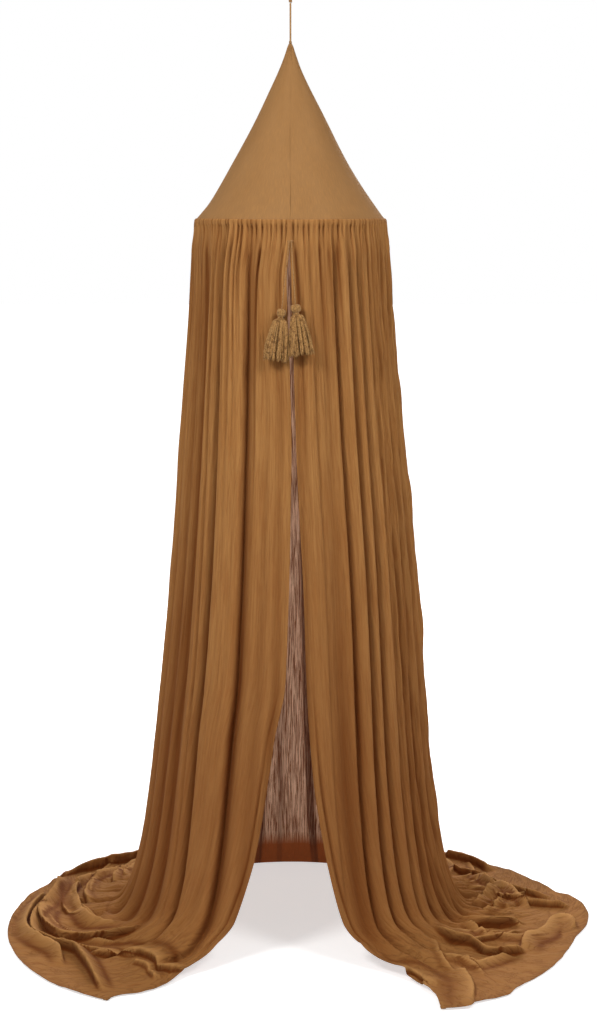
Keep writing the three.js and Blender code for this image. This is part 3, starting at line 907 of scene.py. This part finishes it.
right_ridges = [
    # The toe of the outermost hanging fold, and the folds that run on from the skirt
    ridge(0.0234, 0.0122, 0.0096, 1, [(0.44, 0.14), (0.455, 0.03), (0.47, -0.01), (0.5, 0.0), (0.52, 0.04)]),
    ridge(0.0265, 0.0139, 0.0088, 1, [
        (0.415, 0.02), (0.44, -0.07), (0.48, -0.07), (0.52, -0.01), (0.56, 0.08), (0.6, 0.17),
    ], start=0.05),
    ridge(0.0234, 0.0139, 0.008, -1, [
        (0.4, -0.03), (0.42, -0.11), (0.46, -0.15), (0.54, -0.15), (0.64, -0.11),
    ], start=0.05),
    ridge(0.0265, 0.0163, 0.0088, -1, [
        (0.35, -0.2), (0.375, -0.27), (0.42, -0.31), (0.48, -0.32), (0.52, -0.36), (0.57, -0.35),
        (0.62, -0.32),
    ], start=0.05),
    ridge(0.018, 0.0122, 0.008, 1, [
        (0.38, -0.17), (0.41, -0.16), (0.45, -0.18), (0.49, -0.23), (0.52, -0.28),
    ]),
    # The rim at the back and the ridges in front of it
    ridge(0.0218, 0.0114, 0.0112, -1, [(0.46, 0.5), (0.51, 0.46), (0.56, 0.4), (0.59, 0.34)]),
    ridge(0.0187, 0.0122, 0.0088, -1, [
        (0.46, 0.38), (0.5, 0.32), (0.55, 0.26), (0.6, 0.2), (0.67, 0.14), (0.74, 0.09),
    ]),
    ridge(0.0203, 0.0139, 0.0088, 1, [
        (0.52, 0.27), (0.56, 0.19), (0.61, 0.15), (0.63, 0.07), (0.66, -0.01),
    ]),
    # The mouth of the dark hollow at the right
    ridge(0.019, 0.02, 0.0088, -1, [(0.57, 0.12), (0.62, 0.07), (0.67, 0.045), (0.72, 0.04), (0.78, 0.02)]),
    # The edge of the layer that lies along the right
    ridge(0.0172, 0.027, 0.008, 1, [
        (0.6, -0.35), (0.63, -0.26), (0.66, -0.23), (0.69, -0.18), (0.72, -0.11), (0.755, -0.11),
        (0.765, -0.2),
    ]),
    ridge(0.014, 0.0163, 0.0096, 1, [(0.44, -0.39), (0.47, -0.45), (0.52, -0.42), (0.58, -0.36)]),
    # The tongue at the front and the edge of the upper layer
    ridge(0.01, 0.036, 0.0056, 1, [(0.43, -0.45), (0.45, -0.56), (0.445, -0.66), (0.44, -0.76)], end=0.02),
    ridge(0.008, 0.03, 0.0056, -1, [(0.35, -0.52), (0.335, -0.59), (0.345, -0.66), (0.37, -0.76)], end=0.02),
    ridge(0.013, 0.036, 0.0056, -1, [
        (0.17, -0.43), (0.22, -0.5), (0.27, -0.515), (0.31, -0.51), (0.34, -0.55), (0.36, -0.6),
    ], start=0.02),
]

# Small folds laid at random among the ones above
stray = dict(
    begins=(0.46, 0.56), lengths=(0.08, 0.22), heights=(0.007, 0.014), widths=(0.008, 0.013), steep=0.006
)


def stray_ridges(count, bend, seed):
    """Small folds that run out from the foot of the skirt and bend back round the pool."""
    stray_rng = np.random.default_rng(seed)
    made = []
    for i in range(count):
        bearing = 38 + 130 * (i + stray_rng.uniform(0.2, 0.8)) / count
        begin = stray_rng.uniform(*stray["begins"])
        length = stray_rng.uniform(*stray["lengths"])
        turn = stray_rng.uniform(*bend)
        lift = stray_rng.uniform(-8, 8)
        route = []
        for share in np.linspace(0, 1, 6):
            angle = math.radians(bearing + turn * share**1.5 + lift * math.sin(math.pi * share))
            radius = begin + length * share
            route.append((radius * math.sin(angle), -radius * math.cos(angle)))
        height = stray_rng.uniform(*stray["heights"])
        width = stray_rng.uniform(*stray["widths"])
        side = stray_rng.choice([-1, 1])
        made.append(ridge(height, width, stray["steep"], side, route, start=0.35, end=0.45))
    return made


left_ridges += stray_ridges(14, (20, 60), 61)
right_ridges += stray_ridges(19, (-10, 30), 62)


def left_crinkles(along):
    """The left curtain is a little crinkled towards the side seam."""
    return 0.3 * along


def right_crinkles(along):
    """The right curtain is finely crinkled in its half beside the side seam."""
    return 2 * smooth(0.36, 0.5, along)


def front_curtain(side, sign, slit, floor_edge, valleys, crinkled, seed):
    """What tells one front curtain from the other. Its columns run from the slit to the side seam."""

    def edge(height, share):
        return curve_through(slit, height) + curve_through(floor_edge, share) - floor_edge[0][1]

    return {
        "node": side + "_curtain",
        "sign": sign,
        "columns": front_columns,
        "span": seam_bearing,
        "seams": [1],
        "edge": edge,
        "edge_top": 0,
        "far_edge": lambda share: seam_bearing + seam_sweep * share**2,
        "bulge": pool_bulge,
        "bend": lambda along: front_bend_width * (1 - smooth(0.2, 0.6, along)),
        "flare": lambda along: foot_flare * (0.4 + 0.6 * smooth(0.3, 0.6, along)),
        "folds_end": lambda along: folds_end,
        "valleys": valleys,
        "crinkled": crinkled,
        "edge_fold": True,
        "seed": seed,
    }


def back_curtain():
    """The back curtain's columns run from the right side seam round to the left one."""

    def middle(along):
        return smooth(0, 0.3, along) * smooth(0, 0.3, 1 - along)

    return {
        "node": "back_curtain",
        "sign": 1,
        "columns": back_columns,
        "span": 360 - 2 * seam_bearing,
        "seams": [0, 1],
        "edge": lambda height, share: seam_bearing + seam_sweep * share**2,
        "edge_top": seam_bearing,
        "far_edge": lambda share: 360 - seam_bearing - seam_sweep * share**2,
        "bulge": 0,
        "bend": lambda along: -back_bend_width * middle(along),
        "flare": lambda along: foot_flare * (1 - middle(along)),
        "folds_end": lambda along: (folds_end[0] - 0.16 * middle(along), folds_end[1] * (1 - middle(along))),
        "valleys": back_valleys,
        "crinkled": lambda along: back_crinkles,
        "edge_fold": False,
        "seed": 53,
    }


def build_curtain(curtain, leading_edge):
    points, uv, shade = curtain_points(curtain)
    rows, columns = shade.shape
    points, uv = turned_hem(points, uv)
    if leading_edge:
        points, uv = turned_edge(points, uv)
    cloth = grid_mesh(curtain["node"] + "_cloth", points, uv, flip=curtain["sign"] < 0)
    shade = np.pad(shade, ((0, points.shape[0] - rows), (points.shape[1] - columns, 0)), mode="edge")
    layer = cloth.data.attributes.new("fold_shade", "FLOAT", "POINT")
    layer.data.foreach_set("value", shade.astype(np.float32).ravel())
    return cloth


def build_front_curtain(*differences):
    curtain = front_curtain(*differences)
    cloth = build_curtain(curtain, leading_edge=True)
    dress(cloth, gauze, "gauze", None, curtain["node"])
    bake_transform(cloth)


def build_back_curtain():
    cloth = build_curtain(back_curtain(), leading_edge=False)
    dress(cloth, gauze, "gauze", "canopy", "back_curtain")


# Cone

cone_straight_share = 0.73
cone_curved_share = 0.235
cone_flare_power = 8
cone_tip_hollow = 0.25
cone_hollow_share = 0.13
cone_meet_angle = 38.7
cone_tip_radius = 0.005
cone_length = 0.52
cone_rows = 150
cone_columns = 200
seam_groove = dict(depth=0.0004, width=0.0022, lip=0.006, lip_width=0.004)
cone_softness = 0.0016
cone_pull = 0.0012
cone_stitch_depth = 0.0006


def cone_unevenness(side, share, angle, radius, along):
    """What the seam's groove, the soft cloth and the pull of the tip's binding add to the cone's radius."""
    seam = np.minimum(along, 1 - along) * radius * math.pi
    groove = np.exp(-((seam / seam_groove["width"]) ** 2))
    lip = np.exp(-(((seam - seam_groove["lip"]) / seam_groove["lip_width"]) ** 2))
    added = -seam_groove["depth"] * (groove - 0.5 * lip) * smooth(0.03, 0.12, share)
    soft = ripples(angle * 0.25, share * 0.5, 0.3, 11 if side == "left" else 12)
    added += cone_softness * soft * smooth(0.05, 0.3, share) * smooth(1.0, 0.9, share)
    pull = np.sin(angle * 9 + 2 * np.sin(3 * angle)) * smooth(0.22, 0.02, share) * smooth(0, 0.02, share)
    return added + cone_pull * pull


def cone_half(side, start, end):
    """Half of the cone, from the seam at the front round to the seam at the back."""
    share, along = np.meshgrid(np.linspace(0, 1, cone_rows), np.linspace(0, 1, cone_columns), indexing="ij")
    bearing = start + (end - start) * along
    end_angle = np.radians(cone_meet_angle + seam_rise(bearing))
    end_radius = hoop_radius + roll_radius * np.cos(end_angle)
    end_height = hoop_height + roll_radius * np.sin(end_angle)
    flared = 1 - cone_straight_share - cone_curved_share
    spread = cone_straight_share * share + cone_curved_share * share**2 + flared * share**cone_flare_power
    spread = spread - cone_tip_hollow * share * np.exp(-share / cone_hollow_share)
    radius = cone_tip_radius + (end_radius - cone_tip_radius) * spread
    height = cone_tip_height + (end_height - cone_tip_height) * share
    angle = np.radians(bearing)
    radius = radius + cone_unevenness(side, share, angle, radius, along)
    stitched = np.sin(angle * 57 + 2 * np.sin(angle * 5)) * smooth(0.975, 1.0, share)
    points = round_axis(radius, angle, height + cone_stitch_depth * stitched)
    uv = np.stack([angle * hoop_radius, share * cone_length], axis=-1)
    cloth = grid_mesh("cone_" + side + "_cloth", points, uv)
    dress(cloth, cotton, "cone_cloth", "canopy", "cone_" + side)


def ring_seam():
    """The stitched ridge where the cone's edge is sewn over the gathers."""
    thread = 0.0006
    sunk = 0.0002
    wave_sizes = (0.0007, 0.0005)
    cloth_over_thread = 0.006
    turn = np.linspace(0, 2 * math.pi, 720, endpoint=False)
    angle = np.radians(cone_meet_angle - 1.5 + seam_rise(np.degrees(turn)))
    wave = wave_sizes[0] * np.sin(turn * 23 + 2 * np.sin(turn * 4)) + wave_sizes[1] * np.sin(turn * 61)
    centre_radius = hoop_radius + (roll_radius - sunk) * np.cos(angle)
    centre_height = hoop_height + (roll_radius - sunk) * np.sin(angle) + wave
    section = np.linspace(0, 2 * math.pi, 7, endpoint=False)[:, None]
    radius = centre_radius + thread * np.cos(section)
    points = round_axis(radius, turn, centre_height + thread * np.sin(section))
    points = np.concatenate([points, points[:1]])
    uv = np.stack(np.meshgrid(turn * hoop_radius, np.linspace(0, cloth_over_thread, 8)), axis=-1)
    dress(grid_mesh("ring_seam", points, uv, closed=True), cotton, "cone_cloth", "canopy")


def casing_cloth():
    """The cloth tunnel round the hoop, open towards the axis."""
    sunk = 0.0004
    pucker = 0.0004
    turn = np.linspace(0, 2 * math.pi, 480, endpoint=False)
    section = np.radians(np.linspace(-150, 150, 25))[:, None]
    puckers = pucker * np.sin(turn * 67 + 3 * np.sin(turn * 5))
    tube = casing_radius - sunk + puckers[None, :] * np.cos(section)
    points = round_axis(hoop_radius + tube * np.cos(section), turn, hoop_height + tube * np.sin(section))
    uv = np.stack(np.meshgrid(turn * hoop_radius, section[:, 0] * casing_radius), axis=-1)
    tunnel = grid_mesh("hoop_casing_cloth", points, uv, closed=True)
    dress(tunnel, cotton, "cone_cloth", "canopy", "hoop_casing")


# Cords

whipping_thread = 0.0009
binding_thread = 0.0007
thin_thread_pitch = 0.004
stitch_count = 13
stitch_thread = 0.0007
stitch_slant = 0.0004
stitch_inset = 0.0005
stitch_room = 0.0012


def frames_along(path):
    """Two sideways directions at each point of a path, which don't turn about it."""
    heading = np.gradient(path, axis=0)
    heading /= np.linalg.norm(heading, axis=1)[:, None]
    side = np.cross(heading[0], [0.3, 1.0, 0.2])
    side /= np.linalg.norm(side)
    sides = []
    for direction in heading:
        side = side - direction * np.dot(side, direction)
        side /= np.linalg.norm(side)
        sides.append(side)
    sides = np.array(sides)
    return sides, np.cross(heading, sides)


def twisted_cord(name, path, radius, plies=3, pitch=0.014, sides=18):
    """A laid cord: its section is a ring of plies that turns along the path, and its ends are round."""
    path = np.array(path, float)
    across, over = frames_along(path)
    length = np.concatenate([[0], np.cumsum(np.linalg.norm(np.diff(path, axis=0), axis=1))])
    turn = np.linspace(0, 2 * math.pi, sides, endpoint=False)
    twist = turn[None, :] * plies + 2 * math.pi * plies * length[:, None] / pitch
    reach = radius * (0.8 + 0.2 * np.abs(np.cos(twist / 2)))
    ends = np.minimum(length, length[-1] - length) / radius
    reach = reach * np.sqrt(np.clip(ends * 2 + 0.02, 0, 1))[:, None]
    sideways = across[:, None] * (reach * np.cos(turn))[..., None]
    upwards = over[:, None] * (reach * np.sin(turn))[..., None]
    uv = np.stack(np.meshgrid(turn * radius, length), axis=-1)
    return grid_mesh(name, path[:, None] + sideways + upwards, uv, closed=True, flip=True)


def take_mesh(obj):
    """The object's vertices and faces, after which the object is removed."""
    mesh = obj.data
    parts = ([tuple(v.co) for v in mesh.vertices], [list(p.vertices) for p in mesh.polygons])
    bpy.data.objects.remove(obj)
    bpy.data.meshes.remove(mesh)
    return parts


def bundle(name, paths, radius, pitch):
    """One mesh made of many thin two-ply cords."""
    cords = [twisted_cord("strand", path, radius, plies=2, pitch=pitch, sides=8) for path in paths]
    return joined(name, [take_mesh(cord) for cord in cords])


def wound_thread(name, centre, radius, height, turns, thread):
    """Thread wound round an upright core."""
    count = int(turns * 26)
    angle = np.linspace(0, 2 * math.pi * turns, count)
    rise = np.linspace(-height / 2, height / 2, count)
    path = np.stack([radius * np.cos(angle), radius * np.sin(angle), rise], axis=-1) + np.array(centre)
    return twisted_cord(name, path, thread, plies=2, pitch=thin_thread_pitch, sides=8)


def hanging_loop(radius):
    """The loop at the cord's upper end, in the plane in which its CAD box is wider."""
    low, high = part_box("hanging_loop")
    centre = (low.z + high.z) / 2
    ring = (high.z - low.z) / 2 - radius
    turn = np.linspace(0, 2 * math.pi, 161)
    path = np.stack([ring * np.sin(turn), 0 * turn, centre - ring * np.cos(turn)], axis=-1)
    if high.y - low.y >= high.x - low.x:
        path = path[:, [1, 0, 2]]
    loop = twisted_cord("hanging_loop_laid", path, radius)
    return dress(loop, cord_cotton, "cord", "hanger", "hanging_loop")


def loop_whipping():
    """The thread that closes the loop."""
    low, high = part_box("loop_whipping")
    core = (high.x - low.x) / 2 - whipping_thread
    turns = (high.z - low.z) / (2 * whipping_thread)
    height = high.z - low.z - 2 * whipping_thread
    wound = wound_thread("loop_whipping_thread", (low + high) / 2, core, height, turns, whipping_thread)
    return dress(wound, cord_cotton, "cord", "hanger", "loop_whipping")


def hanging_cord():
    low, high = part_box("hanging_cord")
    radius = (high.x - low.x) / 2
    path = [(0, 0, z) for z in np.linspace(low.z, high.z, 90)]
    cord = twisted_cord("hanging_cord_laid", path, radius)
    dress(cord, cord_cotton, "cord", "hanger", "hanging_cord")
    hanging_loop(radius)
    loop_whipping()


def stopper_knot():
    """An overhand knot pulled tight: three turns of the cord heaped on each other."""
    low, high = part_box("stopper_knot")
    size = (high.z - low.z) / 2
    turn = np.linspace(0, 2 * math.pi, 241)
    spread = size * (0.36 + 0.26 * np.cos(3 * turn))
    height = size * 0.42 * np.sin(3 * turn)
    path = np.stack([spread * np.cos(2 * turn), spread * np.sin(2 * turn), height], axis=-1)
    knot = twisted_cord("stopper_knot_laid", path + np.array((low + high) / 2), size * 0.34)
    dress(knot, cord_cotton, "cord", "hanger", "stopper_knot")


def tip_binding():
    """The thread that gathers the cone's tip on the cord."""
    low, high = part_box("cone_tip_binding")
    radius = (high.x - low.x) / 2 - binding_thread
    height = high.z - low.z - 2 * binding_thread
    turns = height / (2 * binding_thread)
    wound = wound_thread("cone_tip_thread", (low + high) / 2, radius, height, turns, binding_thread)
    dress(wound, cord_cotton, "cord", "canopy", "cone_tip_binding")


def slit_stitches():
    """The slit's end is closed with a bar of satin stitches, which bulge to the front."""
    low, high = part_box("slit_tack")
    middle = (low + high) / 2
    half = (high.z - low.z) / 2
    up = np.linspace(-1, 1, 9)
    bulge = np.sqrt(np.clip(1 - up**2, 0, 1))
    depth = high.y - stitch_inset - (high.y - low.y - stitch_room) * bulge
    first = low.x + stitch_thread
    width = high.x - low.x - 2 * stitch_thread
    paths = []
    for i in range(stitch_count):
        x = first + width * i / (stitch_count - 1) + stitch_slant * up
        paths.append(np.stack([x, depth, middle.z + half * 0.9 * up], axis=-1))
    bar = bundle("slit_tack_stitches", paths, stitch_thread, thin_thread_pitch)
    dress(bar, cord_cotton, "cord", "canopy", "slit_tack")


# Tassels

tassel_spread = 0.0345
tassel_flatness = 0.47
tassel_strands = 120
tassel_clumps = 13
skirt_strand = 0.0017
skirt_strand_pitch = 0.01
skirt_strand_wave = 0.0018
inner_shortening = 0.11
head_strands = 26
head_strand = 0.0019
head_strand_pitch = 0.009
head_height_share = 0.93
head_squareness = 0.45
head_top_radius = 0.0015
head_foot_radius = 0.0035
head_cord_overlap = 0.001
neck_radius = 0.0062
neck_turns = 4
neck_rise = 0.0016
neck_strand = 0.0011
neck_strand_pitch = 0.005
neck_gap = 0.0028
skirt_neck_radius = 0.006
skirt_gap = 0.001
tassel_cord_radius = 0.0013
tassel_cord_pitch = 0.008
tassel_cord_sag = 0.001
tie_inset = 0.0015


def tassel_axes(side):
    """The middle of the tassel's head, and the tassel's directions down, across and out, from the CAD."""
    head_low, head_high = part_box(side + "_tassel_head")
    skirt_low, skirt_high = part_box(side + "_tassel_skirt")
    head = (head_low + head_high) / 2
    foot = Vector(((skirt_low.x + skirt_high.x) / 2, (skirt_low.y + skirt_high.y) / 2, skirt_low.z))
    foot.y = (foot.y + head.y) / 2
    down = (foot - head).normalized()
    across = Vector((1, 0, 0))
    across = (across - down * across.dot(down)).normalized()
    return head, down, across, down.cross(across)


def tassel_head(side, head, down, across, out, radius, half):
    """Yarn that goes over the head in meridians and is drawn in at the neck."""
    paths = []
    for i in range(head_strands):
        turn = 2 * math.pi * (i + 0.3 * math.sin(i * 2.3)) / head_strands
        outward = across * math.cos(turn) + out * math.sin(turn)
        path = []
        for share in np.linspace(0.06, 0.97, 14):
            lat = math.pi * share
            wide = (radius - head_strand) * math.sin(lat) ** head_squareness
            wide = max(wide, head_top_radius if share < 0.5 else head_foot_radius)
            path.append(head - down * (half * math.cos(lat)) + outward * wide)
        paths.append(path)
    ball = bundle(side + "_tassel_head_yarn", paths, head_strand, head_strand_pitch)
    dress(ball, yarn, "yarn", side + "_tassel", side + "_tassel_head")


def tassel_neck(side, neck, down, across, out):
    """A few turns of yarn round the neck."""
    paths = []
    for i in range(neck_turns):
        middle = neck + down * (neck_rise * (i - (neck_turns - 1) / 2))
        turn = np.linspace(0, 2 * math.pi, 33)
        paths.append([
            middle + across * (neck_radius * math.cos(t)) + out * (neck_radius * math.sin(t)) for t in turn
        ])
    band = bundle(side + "_tassel_neck_yarn", paths, neck_strand, neck_strand_pitch)
    dress(band, yarn, "yarn", side + "_tassel", side + "_tassel_binding")


def tassel_skirt(side, neck, down, across, out, length, seed):
    """Loose strands that fan out from the neck in clumps, less on the inner side, and end unevenly."""
    strand_rng = np.random.default_rng(seed)
    inner_side = 1 if side == "left" else -1
    paths = []
    for _ in range(tassel_strands):
        turn = strand_rng.uniform(0, 2 * math.pi)
        clumped = round(turn / (2 * math.pi) * tassel_clumps) / tassel_clumps * 2 * math.pi
        turn = turn + (clumped - turn) * strand_rng.uniform(0.1, 0.6)
        ring = math.sqrt(strand_rng.uniform(0.35, 1.0))
        reach = ring * tassel_spread * strand_rng.uniform(0.9, 1.03)
        reach *= 1 - inner_shortening * max(0, inner_side * math.cos(turn))
        strand_length = length * strand_rng.uniform(0.93, 1.03)
        wave = strand_rng.uniform(0, 2 * math.pi)
        bow = strand_rng.uniform(0.34, 0.46)
        begin = skirt_neck_radius * ring
        path = []
        for share in np.linspace(0, 1, 15):
            fan = begin + (reach - begin) * share**bow
            wiggle = skirt_strand_wave * math.sin(7 * share + wave) * share
            sideways = across * ((fan + wiggle) * math.cos(turn))
            sideways = sideways + out * ((fan * tassel_flatness + wiggle) * math.sin(turn))
            path.append(neck + down * (strand_length * share) + sideways)
        paths.append(path)
    skirt = bundle(side + "_tassel_skirt_yarn", paths, skirt_strand, skirt_strand_pitch)
    dress(skirt, yarn, "yarn", side + "_tassel", side + "_tassel_skirt")


def tassel_cord(side, head_top, tie):
    """Thin laid cord from the end of the slit down to the tassel's head."""
    path = []
    for share in np.linspace(0, 1, 60):
        point = tie.lerp(head_top, float(share))
        point.y -= tassel_cord_sag * math.sin(math.pi * share)
        path.append(tuple(point))
    name = side + "_tassel_cord"
    cord = twisted_cord(name + "_laid", path, tassel_cord_radius, plies=2, pitch=tassel_cord_pitch, sides=10)
    dress(cord, cord_cotton, "cord", name, name)


def build_tassel(side, head_radius, skirt_length, seed):
    head, down, across, out = tassel_axes(side)
    head_low, head_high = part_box(side + "_tassel_head")
    half = (head_high.z - head_low.z) / 2
    neck = head + down * (half + neck_gap)
    tassel_head(side, head, down, across, out, head_radius, head_height_share * half)
    tassel_neck(side, neck, down, across, out)
    tassel_skirt(side, neck + down * skirt_gap, down, across, out, skirt_length, seed)
    cord_low, cord_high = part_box(side + "_tassel_cord")
    tie_x = cord_high.x - tie_inset if side == "left" else cord_low.x + tie_inset
    tie = Vector((tie_x, cord_high.y - tie_inset, cord_high.z))
    tassel_cord(side, head - down * (half - head_cord_overlap), tie)


# Everything that belongs to the canopy

hanging_cord()
stopper_knot()
tip_binding()
build_front_curtain("left", -1, left_slit, left_floor_edge, left_valleys, left_crinkles, 31)
build_front_curtain("right", 1, right_slit, right_floor_edge, right_valleys, right_crinkles, 42)
build_back_curtain()
cone_half("left", -180, 0)
cone_half("right", 0, 180)
ring_seam()
casing_cloth()
slit_stitches()
build_tassel("left", head_radius=0.0118, skirt_length=0.109, seed=5)
build_tassel("right", head_radius=0.0132, skirt_length=0.106, seed=6)
for number in range(1, 5):
    dress(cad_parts[f"hoop_segment_{number}"], plastic, "hoop_plastic", None)
    dress(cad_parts[f"hoop_ferrule_{number}"], brass, "ferrule_brass", None)


# Floor, light and camera

floor_sides = (-40, 40)
floor_ends = (40, -12)
floor_gap = 0.0005
floor_lift_reach = (2.1, 4.0)
world_strength = 0.3
light_aim = (0, 0, -1.1)
back_light_aim = (0, 0, -1.4)
white = (1.0, 1.0, 1.0)
key_white = (1.0, 1.0, 0.99)


def white_for_camera(light_strength):
    """A world that the camera sees as plain white, while it lights the object at its own level."""
    world = bpy.data.worlds.new("studio")
    world.use_nodes = True
    nodes, links = world.node_tree.nodes, world.node_tree.links
    light = nodes["Background"]
    seen = nodes.new("ShaderNodeBackground")
    for background, strength in ((light, light_strength), (seen, 1.0)):
        background.inputs["Color"].default_value = (1, 1, 1, 1)
        background.inputs["Strength"].default_value = strength
    path = nodes.new("ShaderNodeLightPath")
    either = nodes.new("ShaderNodeMath")
    either.operation = "MAXIMUM"
    mix = nodes.new("ShaderNodeMixShader")
    links.new(path.outputs["Is Camera Ray"], either.inputs[0])
    links.new(path.outputs["Is Glossy Ray"], either.inputs[1])
    links.new(either.outputs[0], mix.inputs["Fac"])
    links.new(light.outputs[0], mix.inputs[1])
    links.new(seen.outputs[0], mix.inputs[2])
    links.new(mix.outputs[0], nodes["World Output"].inputs["Surface"])
    bpy.context.scene.world = world


def studio_floor():
    """A pale floor. The camera sees it lifted to white, and the object's shadow stays on it."""
    n = Nodes("studio_floor", 0.9, 0.0)
    path = n.add("LightPath").outputs
    seen = n.maths("MAXIMUM", path["Is Camera Ray"], path["Is Glossy Ray"])
    seen = n.maths("MAXIMUM", seen, path["Is Transmission Ray"])
    n.set(n.surface.inputs["Emission Color"], (1, 1, 1, 1))
    place = n.add("TexCoord").outputs["Object"]
    distance = n.add("VectorMath", {"operation": "LENGTH"}, Vector=place).outputs["Value"]
    lift = n.maths("MULTIPLY_ADD", n.ramp(distance, *floor_lift_reach), 0.7, 0.42)
    n.set(n.surface.inputs["Emission Strength"], n.maths("MULTIPLY", seen, lift))
    points = [[(x, y, floor_z - floor_gap) for x in floor_sides] for y in floor_ends]
    points = np.array(points, float)
    floor = grid_mesh("studio_floor", points, points[..., :2].copy())
    floor.data.materials.append(n.colour((0.8, 0.8, 0.8, 1)))


def area_light(name, place, aim, size, power, colour=white):
    light = bpy.data.lights.new(name, "AREA")
    light.shape = "DISK"
    light.size = size
    light.energy = power
    light.color = colour
    made = in_scene(name, light)
    made.location = place
    made.rotation_euler = (Vector(aim) - Vector(place)).to_track_quat("-Z", "Y").to_euler()


def camera():
    data = bpy.data.cameras.new("camera")
    data.lens = camera_lens
    made = in_scene("camera", data)
    made.location = camera_place
    made.rotation_euler = (math.radians(90 - camera_pitch), 0, 0)
    bpy.context.scene.camera = made


studio_floor()
white_for_camera(world_strength)
area_light("key", place=(-2.3, -2.9, 1.9), aim=light_aim, size=1.4, power=126, colour=key_white)
area_light("fill", place=(2.5, -2.9, 1.8), aim=light_aim, size=1.6, power=104)
area_light("back", place=(0.4, 4.2, 0.2), aim=back_light_aim, size=2.6, power=190)
camera()
bpy.context.scene.view_settings.view_transform = "Standard"
